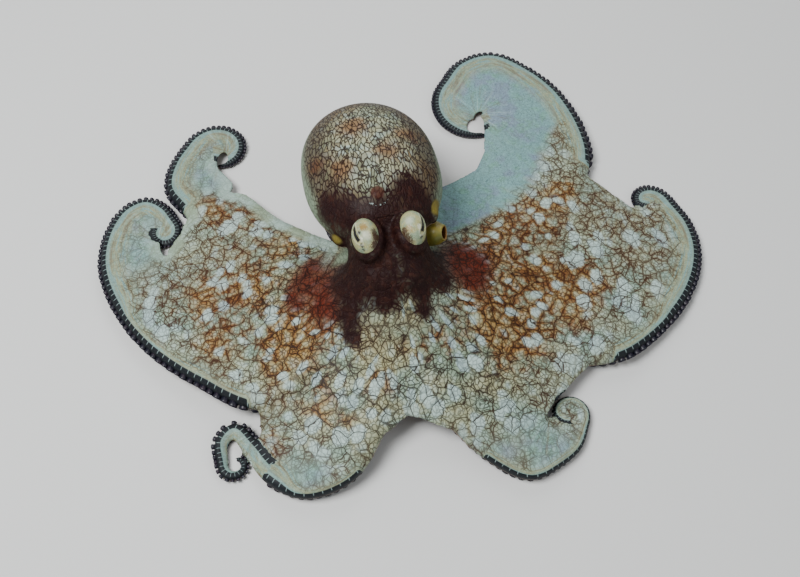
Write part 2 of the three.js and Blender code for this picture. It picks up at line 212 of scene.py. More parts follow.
# where each arm's outer side leaves the web, and where an arm turns over, so that its suckers change sides
freeFrom = {"right_1": 72, "right_2": 72, "right_3": 130, "right_4": 14,
            "left_1": 76, "left_2": 104, "left_3": 142, "left_4": 30}
twistAt = {"right_1": 126}
web = {"thickness": 2.8, "sag": 1.5, "sagFrom": (0.15, 0.6), "drop": 1.4, "steps": 40, "flankShare": 0.8}


def backHeight(x, y):  # height of the back's skin over a plan place
    distance = np.hypot(x, np.where(y > 0, body["rearSteepness"] * y, y))
    fall = np.exp(-(distance / body["slopeReach"]) ** body["slopePower"])
    return body["marginHeight"] + (body["crownHeight"] - body["marginHeight"]) * fall


def curveThrough(knots, samples=60):  # smooth plan curve through knots, evenly stepped
    k = np.array(knots, float)
    k = np.vstack([2 * k[0] - k[1], k, 2 * k[-1] - k[-2]])
    t = np.linspace(0, 1, samples, endpoint=False)[:, None]
    spans = []
    for i in range(1, len(k) - 2):
        p0, p1, p2, p3 = k[i - 1:i + 3]
        d0, d1, d2 = (math.sqrt(np.linalg.norm(b - a)) for a, b in ((p0, p1), (p1, p2), (p2, p3)))
        m1 = ((p1 - p0) / d0 - (p2 - p0) / (d0 + d1) + (p2 - p1) / d1) * d1
        m2 = ((p2 - p1) / d1 - (p3 - p1) / (d1 + d2) + (p3 - p2) / d2) * d1
        spans.append((2 * t**3 - 3 * t**2 + 1) * p1 + (t**3 - 2 * t**2 + t) * m1
                     + (3 * t**2 - 2 * t**3) * p2 + (t**3 - t**2) * m2)
    line = np.vstack(spans + [k[-2:-1]])
    run = np.concatenate([[0], np.cumsum(np.linalg.norm(np.diff(line, axis=0), axis=1))])
    return line, run


def resampled(line, run, count):
    at = np.linspace(0, run[-1], count)
    return np.stack([np.interp(at, run, line[:, 0]), np.interp(at, run, line[:, 1])], 1)


def armStations(arm):  # one station for each mm along an arm
    bearing = math.radians(arm["bearing"])
    root = (arm["side"] * body["crownRadius"] * math.sin(bearing), -body["crownRadius"] * math.cos(bearing))
    line, run = curveThrough([root] + arm["knots"])
    place = resampled(line, run, round(run[-1]) + 1)
    along = np.gradient(place, axis=0)
    heading = np.unwrap(np.arctan2(along[:, 1], along[:, 0]))
    length, turn, tightening = arm["curl"]
    steps = np.arange(1, length + 1)
    middle = heading[-1] + math.radians(turn) * ((steps - 0.5) / length) ** tightening
    curl = place[-1] + np.cumsum(np.stack([np.cos(middle), np.sin(middle)], 1), axis=0)
    curlHeading = heading[-1] + math.radians(turn) * (steps / length) ** tightening
    place = np.vstack([place, curl])
    heading = np.concatenate([heading, curlHeading])
    part = np.arange(len(place)) / (len(place) - 1)
    half = body["tipHalf"] + body["armHalf"] * (1 - part) ** body["taper"]
    depth = half * body["depthRatio"]
    raised = np.maximum(0, backHeight(place[:, 0], place[:, 1]) + body["ridgeRise"] - depth)
    low = raised * (1 - ramp(part, *body["comesDown"]))
    across = np.stack([-np.sin(heading), np.cos(heading)], 1) * arm["side"]
    s = np.arange(len(place))
    inner = np.zeros(len(place))
    bladeAcross = across.copy()
    if "pinch" in arm:
        towards = np.array(arm["pinch"]) - place
        far = np.linalg.norm(towards, axis=1)
        turned = ramp(s, arm["start"], arm["start"] + blade["pinchRun"])
        room = mixed(blade["rootShare"], blade["pinchShare"], turned) * far
        bladeAcross = mixed(across, towards / far[:, None], turned[:, None])
        bladeAcross /= np.linalg.norm(bladeAcross, axis=1)[:, None]
        reach = np.interp(s, *zip(*arm["reach"]))
        inner = np.minimum(reach, room) * ramp(s, arm["start"] - blade["leadIn"], arm["start"])
    return {"place": place, "heading": heading, "half": half, "depth": depth, "low": low, "high": low + depth,
            "across": across, "bladeAcross": bladeAcross, "inner": inner}


stations = {name: armStations(arm) for name, arm in arms.items()}


def loftFaces(rings, count):
    faces = []
    for i in range(rings - 1):
        for j in range(count):
            a, b = i * count + j, i * count + (j + 1) % count
            faces.append((a, b, b + count, a + count))
    faces.append(tuple(range(count))[::-1])
    faces.append(tuple((rings - 1) * count + j for j in range(count)))
    return faces


def loft(name, rings):  # rings: (ring, point, xyz) in mm from the mouth's axis
    rings = np.asarray(rings, float)
    rings[:, :, 0] += mouth[0]
    rings[:, :, 1] += mouth[1]
    piece = meshPiece(name, rings.reshape(-1, 3), loftFaces(len(rings), rings.shape[1]))
    makeActive(piece)
    bpy.ops.object.mode_set(mode="EDIT")
    bpy.ops.mesh.select_all(action="SELECT")
    bpy.ops.mesh.normals_make_consistent(inside=False)
    bpy.ops.object.mode_set(mode="OBJECT")
    return piece


armTube = {"step": 2, "sides": 20, "boxiness": 2.5, "sole": 0.2}


def armPiece(name):
    st = stations[name]
    keep = np.unique(np.append(np.arange(0, len(st["place"]), armTube["step"]), len(st["place"]) - 1))
    angle = turns(armTube["sides"])
    power = 2 / armTube["boxiness"]
    side = np.sign(np.cos(angle)) * np.abs(np.cos(angle)) ** power
    up = np.sign(np.sin(angle)) * np.abs(np.sin(angle)) ** power
    rings = []
    for i in keep:
        sole = st["low"][i] + armTube["sole"] * st["half"][i]
        tall = (st["high"][i] - sole) / 2
        q = side * st["half"][i]
        flat = st["place"][i] + q[:, None] * st["across"][i]
        rings.append(np.column_stack([flat, sole + tall + up * tall]))
    return loft("arm", rings)


def slab(flat, top, thickness):  # a ring round a thin sheet's section
    return np.vstack([np.column_stack([flat, top]), np.column_stack([flat, top - thickness])[::-1]])


def bladePiece(name):
    st = stations[name]
    keep = np.arange(arms[name]["start"] - blade["leadIn"], len(st["place"]) - 2, blade["step"]).astype(int)
    share = np.linspace(0, 1, blade["points"])
    rings = []
    for i in keep:
        inner = max(st["inner"][i], st["half"][i] * blade["leastShare"])
        fade = ramp(inner, st["half"][i], blade["fullFrom"])
        root = st["low"][i] + blade["rootHeight"] * st["depth"][i]
        hem = mixed(root, min(st["high"][i] - 1, blade["hemHeight"]), fade)
        flat = st["place"][i] + (share * inner)[:, None] * st["bladeAcross"][i]
        top = mixed(st["high"][i] - 0.5, hem, share ** blade["topPower"])
        rings.append(slab(flat, top, min(blade["thickness"], 0.5 * st["depth"][i])))
    return loft("blade", rings)


def webPiece(first, second, reachFirst, reachSecond, hem, start):
    a, b = stations[first], stations[second]
    ends = []
    for name, st, reach in ((first, a, reachFirst), (second, b, reachSecond)):
        flank = st["across"][reach] * st["half"][reach] * web["flankShare"] * (reach == freeFrom[name])
        ends.append(st["place"][reach] - flank)
    hemLine = resampled(*curveThrough([ends[0]] + hem + [ends[1]]), web["steps"] + 1)
    u = np.linspace(0, 1, web["steps"] + 1)
    rings = []
    for v in np.linspace(start, 1, web["steps"] + 1):
        i, j = v * reachFirst, v * reachSecond
        pa = np.array([valueAt(a["place"][:, k], i) for k in (0, 1)])
        pb = np.array([valueAt(b["place"][:, k], j) for k in (0, 1)])
        flat = mixed(pa, pb, u[:, None]) + v * v * (hemLine - mixed(ends[0], ends[1], u[:, None]))
        rise = backHeight(flat[:, 0], flat[:, 1]) - mixed(backHeight(*pa), backHeight(*pb), u)
        sag = web["sag"] * np.sin(math.pi * u) * ramp(v, *web["sagFrom"])
        top = mixed(valueAt(a["high"], i), valueAt(b["high"], j), u) - web["drop"] + rise - sag
        rings.append(slab(flat, top, web["thickness"]))
    return loft("web", rings)


mantle = {"length": 121, "width": 84, "depth": 62, "pitch": 0.22, "start": 14, "rise": 64, "power": 2.4,
          "belly": 0.8, "sides": 56, "rings": 44, "caps": (0.22, 0.08)}  # caps: how far in its end rings lie


def mantlePiece():
    angle = turns(mantle["sides"])
    front, back = mantle["caps"]
    rings = []
    for t in 0.5 - 0.5 * np.cos(np.linspace(front, math.pi - back, mantle["rings"])):
        swell = math.sqrt(max(0, 1 - abs(2 * t - 1) ** mantle["power"]))
        half = mantle["width"] / 2 * swell
        tall = mantle["depth"] / 2 * swell * np.where(np.sin(angle) < 0, mantle["belly"], 1)
        y = np.full(len(angle), mantle["start"] + mantle["length"] * t)
        z = mantle["rise"] - mantle["pitch"] * mantle["length"] * t
        rings.append(np.column_stack([half * np.cos(angle), y, z + tall * np.sin(angle)]))
    return loft("mantle", rings)


# levels: height, middle, half width and half depth
head = {"levels": [(20, -2, 17, 17), (27, -2, 25, 25), (38, -2, 28, 29), (48, 1, 28, 31), (57, 6, 26, 28),
                   (65, 11, 23, 23), (71, 14, 17, 18), (74.5, 15, 8, 10)], "rings": 30, "sides": 48}


def headPiece():
    levels = np.array(head["levels"], float)
    at = np.linspace(0, len(levels) - 1, head["rings"])
    angle = turns(head["sides"])
    rings = []
    for z, y, halfX, halfY in np.column_stack([valueAt(column, at) for column in levels.T]):
        level = np.full(len(angle), z)
        rings.append(np.column_stack([halfX * np.cos(angle), y + halfY * np.sin(angle), level]))
    return loft("head", rings)


def ball(size, place, turn=0.0, segments=48, rings=32):
    bpy.ops.mesh.primitive_uv_sphere_add(segments=segments, ring_count=rings, radius=0.5 * mm)
    piece = bpy.context.object
    piece.scale = size
    piece.rotation_euler = (0, 0, turn)
    piece.location = ((place[0] + mouth[0]) * mm, (place[1] + mouth[1]) * mm, place[2] * mm)
    applyPlace(piece)
    return piece


eye = {"size": (15.6, 22, 21), "spread": 13, "y": 12, "z": 77, "turn": 0.1}
turret = {"size": (19, 27, 24), "inward": 2, "down": 5}  # the mound of flesh that carries each eye
lips = [((9, 14, 10), (-26, 28.5, 55), math.radians(40)), ((7, 16, 11), (29.5, 32, 62), math.radians(-12))]
# lengths in mm; a pair is a span over which something comes in, from nothing to all of it
skinForm = {"voxel": 1.35, "smooth": 0.5, "smoothRounds": 5, "keep": 0.7,
            "neckNear": (16, 22), "neckFar": (64, 46), "neckFoot": (20, 28), "neckTop": (70, 62),
            "neckFront": (24, 10), "neckWeight": 0.6, "neckRounds": 420,
            "mantleSide": (1.25, 1.1), "mantleFront": (0.02, 0.12), "mantleFoot": (16, 24),
            "headSide": (34, 26), "headFoot": (44, 54), "headMiddle": 4,
            "freeRun": (-12, 4), "flank": (-1.6, -0.6), "tipSlack": 1.5, "noEdge": 60, "facesUp": (0.1, 0.5),
            "hemBand": 3, "hemReach": 12, "hemStill": (3, 9), "hemWeight": 0.8, "hemRounds": 34,
            "flattenFrom": (3, 7), "flattenWeight": 0.6, "flattenRounds": 60,
            "swell": 0.55, "swellLengths": (23, 31, 17), "swellFrom": (4, 14), "swellFoot": (5, 9),
            "lidAt": 1.16, "lidWidth": 0.1, "lidRise": 0.9,
            "papilla": (-15, -5, 83), "papillaRadius": 4.4, "papillaRise": 1.6}

skinParts = [mantlePiece(), headPiece()]
for side in (-1, 1):
    mound = (side * (eye["spread"] - turret["inward"]), eye["y"], eye["z"] - turret["down"])
    skinParts.append(ball(turret["size"], mound))
skinParts += [ball(*lip) for lip in lips]
skinParts += [armPiece(name) for name in arms]
skinParts += [bladePiece(name) for name in arms if "pinch" in arms[name]]
skinParts += [webPiece(*entry) for entry in webs]
skin = joinPieces("skin", skinParts)
applyModifier(skin, "REMESH", mode="VOXEL", voxel_size=skinForm["voxel"] * mm, adaptivity=0)
applyModifier(skin, "SMOOTH", factor=skinForm["smooth"], iterations=skinForm["smoothRounds"])
applyModifier(skin, "DECIMATE", ratio=skinForm["keep"])
print("skin joined", len(skin.data.polygons), "faces")


def nearestStations(points):  # arm number and station nearest to each plan point
    places = [st["place"] for st in stations.values()]
    owner = np.array([(number, s) for number, arm in enumerate(places) for s in range(len(arm))])
    found = owner[nearestIn(np.vstack(places), points)[0]]
    return found[:, 0], found[:, 1]


def gathered(number, s, key):  # a station value for each point
    starts = np.cumsum([0] + [len(st["place"]) for st in stations.values()])
    return np.concatenate([st[key] for st in stations.values()])[starts[number] + s]


def outlineOf(points, edges, cell=1.6):  # plan places along the edge of what the edges cover
    ends = points[edges[:, 0]], points[edges[:, 1]]
    points = np.vstack([mixed(*ends, share) for share in (0, 0.2, 0.4, 0.6, 0.8)])
    border = 4 * cell
    low = points.min(axis=0) - border
    covered = np.zeros(((points.max(axis=0) + border - low) / cell).astype(int), bool)
    at = ((points - low) / cell).astype(int)
    covered[at[:, 0], at[:, 1]] = True
    steps = [(1, 0), (-1, 0), (0, 1), (0, -1)]
    grown = np.any([covered] + [np.roll(covered, step, (0, 1)) for step in steps], axis=0)
    inner = np.all([grown] + [np.roll(grown, step, (0, 1)) for step in steps], axis=0)
    return (np.argwhere(grown & ~inner) + 0.5) * cell + low


def patch(points, places):  # soft patches: (x, y, z, radius) in mm
    total = np.zeros(len(points))
    for x, y, z, radius in places:
        far = np.linalg.norm(points - (x, y, z), axis=1)
        total = 1 - (1 - total) * (1 - np.exp(-(far / radius) ** 2))
    return total


def within(value, key):  # a span of skinForm as a share from 0 to 1
    return ramp(value, *skinForm[key])


points = pointsOf(skin)
edges = edgesOf(skin)
plan = points[:, :2] - mouth
farOut = np.hypot(plan[:, 0], plan[:, 1])
neck = within(farOut, "neckNear") * within(farOut, "neckFar") * within(points[:, 2], "neckFoot")
neck *= within(points[:, 2], "neckTop") * within(plan[:, 1], "neckFront") * skinForm["neckWeight"]
used, neckEdges = edgesAmong(edges, (neck[edges] > 0).any(axis=1))
for axis in range(3):
    points[used, axis] = settled(points[used, axis], neckEdges, neck[used], skinForm["neckRounds"])
setPoints(skin, points)
plan = points[:, :2] - mouth
normals = normalsOf(skin)

number, s = nearestStations(plan)
away = plan - gathered(number, s, "place")
offset = np.einsum("ij,ij->i", away, gathered(number, s, "across"))
half = gathered(number, s, "half")
pastTip = np.linalg.norm(away, axis=1) > np.abs(offset) + skinForm["tipSlack"]
free = np.array([freeFrom[name] for name in stations])[number]
mantleAlong = (plan[:, 1] - mantle["start"]) / mantle["length"]
mantleAxis = mantle["rise"] - mantle["pitch"] * mantle["length"] * mantleAlong
mantleUp = (points[:, 2] - mantleAxis) / (mantle["depth"] / 2)
fromMantle = np.hypot(plan[:, 0] / (mantle["width"] / 2), mantleUp)
onMantle = within(fromMantle, "mantleSide") * within(mantleAlong, "mantleFront")
onMantle = onMantle * within(points[:, 2], "mantleFoot")
fromHead = np.hypot(plan[:, 0], plan[:, 1] - skinForm["headMiddle"])
onHead = within(fromHead, "headSide") * within(points[:, 2], "headFoot")
fromFlank = offset + half
for name, at in twistAt.items():
    turned = (number == list(stations).index(name)) & (s > at)
    fromFlank[turned] = (half - offset)[turned]
ownSide = within(s - free, "freeRun") * within(fromFlank, "flank") * (1 - onMantle) * (1 - pastTip)
rim = mixed(skinForm["noEdge"], np.clip(fromFlank, 0, skinForm["noEdge"]), ownSide)
above = within(normals[:, 2], "facesUp")
sheet = (above > 0.5) & (onMantle < 0.5) & (onHead < 0.5)
hemFar = nearestIn(outlineOf(plan, edges[sheet[edges].all(axis=1)]), plan)[1]
hemFar = mixed(hemFar, skinForm["noEdge"], onMantle)

# the places that the arms curl round, and the notches between them
notches = [(-3, -74), (-92, -62), (-133, 57), (158, 48), (92, -74)]
gathers = [arm["pinch"] for arm in arms.values() if "pinch" in arm] + notches
nearest, gatherFar = nearestIn(gathers, plan)
toGather = plan - np.array(gathers, float)[nearest]

# the free hems run evenly: their own line is relaxed, and the sheet beside it goes along
onHem = (hemFar < skinForm["hemBand"]) & (np.abs(normals[:, 2]) < 0.7) & (ownSide < 0.1)
onHem &= onMantle + onHead < 0.1
used, hemEdges = edgesAmong(edges, onHem[edges].all(axis=1))
joined = np.bincount(hemEdges.ravel()) > 2
loose = np.where(joined, skinForm["hemWeight"], 0) * within(gatherFar[used], "hemStill")
evened = np.stack([settled(plan[used, k], hemEdges, loose, skinForm["hemRounds"]) for k in (0, 1)], 1)
beside = np.flatnonzero((hemFar < skinForm["hemReach"]) & (ownSide < 0.5) & (onMantle + onHead < 0.5))
found, fromHem = nearestIn(points[used], points[beside])
points[beside, :2] += (evened - plan[used])[found] * ramp(fromHem, skinForm["hemReach"], 0)[:, None]
plan = points[:, :2] - mouth

# the webs lie smooth and swell a little, and folds of skin stand round the eyes
offBody = (1 - onMantle) * (1 - onHead)
flatten = above * offBody * within(rim, "flattenFrom") * skinForm["flattenWeight"]
points[:, 2] = settled(points[:, 2], edges, flatten, skinForm["flattenRounds"])
wide, deep, slant = skinForm["swellLengths"]
swell = np.sin(plan[:, 0] / wide * 2 + 1) * np.sin(plan[:, 1] / deep * 2)
swell += np.sin((plan[:, 0] + plan[:, 1]) / slant + 2) * 0.7
swell *= skinForm["swell"] * offBody * within(rim, "swellFrom") * within(points[:, 2], "swellFoot")
points[:, 2] += swell
for side in (-1, 1):
    centre = (side * eye["spread"] + mouth[0], eye["y"] + mouth[1], eye["z"])
    fromEye = np.linalg.norm((points - centre) / (np.array(eye["size"]) / 2), axis=1)
    fold = np.exp(-((fromEye - skinForm["lidAt"]) / skinForm["lidWidth"]) ** 2) * skinForm["lidRise"]
    points += normals * fold[:, None]
fromPapilla = np.linalg.norm(points - skinForm["papilla"], axis=1)
points[:, 2] += skinForm["papillaRise"] * np.exp(-(fromPapilla / skinForm["papillaRadius"]) ** 4)
setPoints(skin, points)
print("skin settled")

# the suckers' width follows the arm's; heights and the like are for a hidden one and one that shows
sucker = {"sides": 10, "radius": 0.43, "least": 1.9, "growth": 0.54, "packing": 0.86, "firstAt": 16,
          "outerTilt": math.radians(20), "uneven": 0.05, "comesOut": (-10, 12), "turnsOver": 7, "peekBlend": 8,
          "underReach": 0.45, "sunk": 0.05, "underLift": 0.1, "outerLift": 0.42, "heights": (0.62, 0.8),
          "clear": 0.05}
peek = {"right_1": (0.12, 116), "left_1": (0.12, 400)}  # how far suckers show, and from where they show in full


def suckerWidth(half):
    return sucker["least"] + sucker["growth"] * (half - body["tipHalf"])


for st in stations.values():  # how many suckers stand before each station
    st["count"] = np.cumsum(1 / (sucker["packing"] * suckerWidth(st["half"])))
    st["count"] -= st["count"][sucker["firstAt"]]

# where the colours lie, in the model's own frame: (x, y, z, radius) in mm
paintPlaces = {
    "dark": [(-15, -28, 75, 16), (-27, -34, 80, 15), (-1, -34, 80, 14), (-15, -17, 78, 8), (-37, -44, 59, 10),
             (-39, -51, 49, 9), (-42, -60, 42, 8), (-42, -69, 38, 5), (-20, -50, 65, 12), (-22, -59, 58, 8),
             (0, -50, 64, 10), (1, -58, 57, 7), (1, -66, 49, 5), (14, -34, 58, 12), (10, -12, 68, 9),
             (3, -5, 81, 10), (18, -24, 50, 10), (8, -44, 58, 9), (-43, -3, 71, 10), (-32, -12, 77, 10),
             (-43, -24, 56, 12), (-42, -34, 48, 10), (-34, -40, 58, 12), (-39, -22, 52, 9), (15, -46, 48, 8),
             (-48, -14, 46, 7)],
    "red": [(-45, -17, 44, 11), (26, -33, 40, 16), (-54, -14, 29, 14), (-52, -32, 38, 16), (36, -42, 36, 11),
            (-52, -48, 38, 13), (28, -20, 34, 13), (40, -28, 30, 11), (-64, -24, 26, 10), (-70, -34, 26, 9)],
    "warm": [(-101, 47, 11, 20), (-68, 12, 15, 18), (-125, -13, 12, 20), (-97, -14, 18, 22), (-71, -53, 29, 24),
             (-84, -61, 23, 20), (-122, -45, 15, 14), (-58, -49, 38, 18), (-118, 58, 12, 12), (85, 7, 17, 22),
             (108, 20, 15, 15), (38, -57, 37, 20), (50, -69, 29, 22), (65, -41, 22, 24), (87, -50, 16, 26),
             (108, -46, 12, 20), (45, -84, 24, 16), (62, -84, 20, 14), (-5, -84, 40, 9), (-33, 17, 81, 12),
             (-5, 24, 82, 10), (-66, -100, 24, 12), (40, -24, 30, 18), (60, -8, 22, 18), (-48, 30, 72, 10),
             (12, 40, 78, 12), (-20, 52, 80, 14), (90, -70, 16, 12), (-30, -95, 30, 10), (10, -80, 36, 9),
             (-96, -110, 12, 9), (-52, -110, 20, 8)],
    "pale": [(-40, -116, 16, 16), (-60, -124, 12, 16), (-78, -112, 14, 12), (44, -124, 12, 16),
             (64, -112, 10, 16), (-10, -112, 24, 14), (28, -92, 26, 12), (112, -20, 12, 14), (96, 30, 12, 12),
             (-131, 35, 9, 14), (-99, 34, 13, 9), (-151, -28, 11, 16), (-137, -42, 13, 16), (-104, -72, 19, 13),
             (106, -79, 13, 20), (83, -91, 18, 18), (125, -61, 11, 18), (-53, -95, 26, 18), (-21, -101, 27, 20),
             (0, -98, 30, 18), (112, 44, 12, 16), (-62, 6, 20, 8), (-84, -30, 22, 9), (20, -110, 18, 16)],
    "lip": [(-39, -12.5, 57, 6.5), (16.5, -9, 65, 6.5), (16, -4, 62, 6)],
}
coolTips = [(-118, 84, 9, 16), (-100, 110, 8, 20), (-165, 30, 9, 16), (-160, 58, 9, 18), (52, -142, 10, 13),
            (66, -148, 10, 13), (32, -142, 12, 8), (-90, -133, 11, 9), (-76, -134, 12, 8)]
coolWeb = {"border": [(34, 34), (58, 47), (81, 58), (104, 74), (118, 94), (130, 114), (146, 128), (160, 134)],
           "soft": 3, "leftOf": 10, "behind": 0, "tipShare": 0.7}  # the plain web lies past its border
# by arm: between two stations, the margin's share of its full width and the dark edge's width in mm; that edge
# is partly painted shade
margins = {"right_1": (0, 112, 0.25, 1.7), "left_1": (0, 400, 0.3, 1.7), "right_2": (0, 175, 0.5, 3.2),
           "left_2": (0, 150, 0.55, 3.0)}
fieldForm = {"edgeWidth": 4.1, "blend": 0.9, "marginRounds": 40, "edgeRounds": 20,
             "hemLeast": 0.15, "hemBehind": (15, 45), "hemRight": (0, -20), "below": (-0.35, 0.1)}


def besideLine(plan, knots, soft):  # 1 on the left of a line through knots, 0 on its right
    line = resampled(*curveThrough(knots), 200)
    along = np.gradient(line, axis=0)
    found = nearestIn(line, plan)[0]
    toPoint = plan - line[found]
    turned = along[found, 0] * toPoint[:, 1] - along[found, 1] * toPoint[:, 0]
    return ramp(np.sign(turned) * np.linalg.norm(toPoint, axis=1), -soft, soft)


for name, places in paintPlaces.items():
    addField(skin, name, patch(points, places))
cool = besideLine(plan, coolWeb["border"], coolWeb["soft"]) * (1 - onMantle)
cool = cool * (plan[:, 0] > coolWeb["leftOf"]) * (plan[:, 1] > coolWeb["behind"])
addField(skin, "cool", np.maximum(cool, patch(points, coolTips) * coolWeb["tipShare"]))

armName = np.array(list(stations))[number]
marginShare = np.ones(len(plan))
edgeWidth = np.full(len(plan), fieldForm["edgeWidth"])
for name, (near, far, share, width) in margins.items():
    here = (armName == name) & (s >= near) & (s <= far)
    marginShare[here], edgeWidth[here] = share, width
marginShare = settled(marginShare, edges, fieldForm["blend"], fieldForm["marginRounds"])
edgeWidth = settled(edgeWidth, edges, fieldForm["blend"], fieldForm["edgeRounds"])
heading = gathered(number, s, "heading")
slip = np.einsum("ij,ij->i", away, np.stack([np.cos(heading), np.sin(heading)], 1))
paleHem = ramp(plan[:, 1], *fieldForm["hemBehind"]) * ramp(plan[:, 0], *fieldForm["hemRight"])
fields = {"rim": rim * mm, "margin": rim / marginShare * mm, "hem": hemFar * mm, "run": s * mm,
          "far": farOut * mm, "gatherFar": gatherFar * mm, "edge": rim / edgeWidth,
          "sucker": gathered(number, s, "count") + slip / suckerWidth(half),
          "gatherTurn": np.arctan2(toGather[:, 1], toGather[:, 0]),
          "turn": np.arctan2(plan[:, 0], -plan[:, 1]), "paleHem": mixed(fieldForm["hemLeast"], 1, paleHem),
          "onMantle": onMantle, "mantleUp": mantleUp, "above": ramp(normals[:, 2], *fieldForm["below"])}
for name, values in fields.items():
    addField(skin, name, values)
print("skin fields written")


def suckerShape():  # a cup of unit width, mouth down
    deselectAll()
    bpy.ops.mesh.primitive_cylinder_add(vertices=sucker["sides"], radius=sucker["radius"], depth=0.5)
    shape = bpy.context.object
    bpy.ops.object.mode_set(mode="EDIT")
    cage = bmesh.from_edit_mesh(shape.data)
    for face in cage.faces:
        face.select = face.normal.z < -0.5
    bpy.ops.mesh.extrude_region_move(TRANSFORM_OT_translate={"value": (0, 0, -0.22)})
    bpy.ops.transform.resize(value=(1.18, 1.18, 1), center_override=(0, 0, -0.47))
    bpy.ops.mesh.inset(thickness=0.13)
    bpy.ops.transform.translate(value=(0, 0, 0.04))
    bpy.ops.mesh.extrude_region_move(TRANSFORM_OT_translate={"value": (0, 0, 0.2)})
    bpy.ops.transform.resize(value=(0.45, 0.45, 1), center_override=(0, 0, -0.23))
    bpy.ops.object.mode_set(mode="OBJECT")
    corners = np.array([v.co for v in shape.data.vertices])
    faces = [tuple(p.vertices) for p in shape.data.polygons]
    bpy.data.objects.remove(shape)
    radius = np.hypot(corners[:, 0], corners[:, 1])
    cup = ((corners[:, 2] > -0.46) & (corners[:, 2] < -0.2) & (radius < 0.3)).astype(float)
    return corners, faces, cup


suckerCorners, suckerFaces, suckerCup = suckerShape()


def addSuckers(name):  # one shape, copied along an arm in two rows
    st = stations[name]
    last = len(st["place"]) - 1
    centres = np.interp(np.arange(int(st["count"][-2])), st["count"], np.arange(last + 1))
    twist = twistAt.get(name, last + 20)
    hidden, shownFrom = peek.get(name, (1, 0))
    allPoints, allFaces, allCup = [], [], []
    for row, push in ((-1, 0.0), (1, 0.5)):
        for centre in centres:
            at = min(centre + push * suckerWidth(valueAt(st["half"], centre)), last)
            i = int(at)
            place = st["place"][i] + (at - i) * (st["place"][min(i + 1, last)] - st["place"][i])
            halfHere, low = st["half"][i], st["low"][i]
            width = suckerWidth(halfHere) * (1 + sucker["uneven"] * rng.standard_normal())
            outward = st["across"][i] * (row if at < twist else -row)
            exposed = ramp(at - freeFrom[name], *sucker["comesOut"])
            exposed = float(exposed * ramp(abs(at - twist), 0, sucker["turnsOver"])) * (row < 0)
            exposed *= float(mixed(hidden, 1, ramp(at, shownFrom, shownFrom + sucker["peekBlend"])))
            tilt = exposed * (math.pi / 2 - sucker["outerTilt"])
            axis = np.array([outward[0] * math.sin(tilt), outward[1] * math.sin(tilt), -math.cos(tilt)])
            along = np.array([math.cos(st["heading"][i]), math.sin(st["heading"][i]), 0])
            third = np.cross(axis, along)
            sole = low + armTube["sole"] * halfHere
            reach = mixed(sucker["underReach"] * halfHere, halfHere - sucker["sunk"] * width, exposed)
            showing = sole + sucker["outerLift"] * st["depth"][i]
            lift = mixed(sole + sucker["underLift"] * width, showing, exposed)
            base = np.array([place[0] + outward[0] * reach, place[1] + outward[1] * reach, lift])
            local = suckerCorners * (width, width, width * mixed(*sucker["heights"], exposed))
            world = base + local[:, :1] * along + local[:, 1:2] * third - local[:, 2:3] * axis
            world[:, 2] = np.maximum(world[:, 2], low + sucker["clear"])
            allFaces += [tuple(v + len(allCup) for v in face) for face in suckerFaces]
            allPoints += (world + (mouth[0], mouth[1], 0)).tolist()
            allCup += suckerCup.tolist()
    piece = meshPiece("suckers_" + name, allPoints, allFaces)
    addField(piece, "cup", allCup)
    return piece


suckerPieces = [addSuckers(name) for name in arms]
print("suckers made", sum(len(p.data.polygons) for p in suckerPieces))

# in mm from the eye's middle; hollow and ridge are shares of the opening's size
eyeForm = {"segments": 96, "rings": 64, "openLong": 6.4, "openTall": 2.1, "openAt": (-1.0, 6.0),
           "hollow": (1.0, 0.8), "sink": 0.45, "lid": 0.3, "lidAt": 1.12, "lidWidth": 0.14,
           "outer": (1.5, 3.0), "lowerShade": (-2.0, -6.0), "lowerShadeSlope": 0.25}


def addEye(side):  # a pale dome with a slit on its outer side
    piece = ball(eye["size"], (side * eye["spread"], eye["y"], eye["z"]), -side * eye["turn"],
                 eyeForm["segments"], eyeForm["rings"])
    piece.name = "dome_left" if side > 0 else "dome_right"
    at = pointsOf(piece)
    local = at - (side * eye["spread"] + mouth[0], eye["y"] + mouth[1], eye["z"])
    outside = ramp(local[:, 0] * side, *eyeForm["outer"])
    alongSlit, upSlit = local[:, 1], local[:, 2] - eyeForm["openAt"][1]
    far = np.hypot((alongSlit - eyeForm["openAt"][0]) / eyeForm["openLong"], upSlit / eyeForm["openTall"])
    hollow = ramp(far, *eyeForm["hollow"]) * outside
    ridge = np.exp(-((far - eyeForm["lidAt"]) / eyeForm["lidWidth"]) ** 2) * outside
    away = local / np.linalg.norm(local, axis=1)[:, None]
    setPoints(piece, at + away * (eyeForm["lid"] * ridge - eyeForm["sink"] * hollow)[:, None])
    # the eye's lower side, to be painted brown as shade where it sinks into the skin
    lowerShade = ramp(local[:, 2] + eyeForm["lowerShadeSlope"] * local[:, 1], *eyeForm["lowerShade"])
    for name, values in {"opening": hollow, "alongSlit": alongSlit * mm, "upSlit": upSlit * mm, "lid": ridge,
                         "lowerShade": lowerShade}.items():
        addField(piece, name, values)
    return piece


eyes = [addEye(side) for side in (-1, 1)]
print("eyes made")

funnelForm = {"route": [(19, 32, 40), (23, 29.5, 44), (27, 27, 47), (31, 25, 49.5), (34.5, 23.5, 51)],
              "radii": [6.4, 7.2, 7.6, 7.0, 4.8], "wall": 1.2, "sides": 40, "rings": 18, "hollowFrom": 11,
              "ripple": 0.05, "lipTurns": (0.25, 0.5, 0.75), "lipInside": [0.2, 0.5, 0.8]}


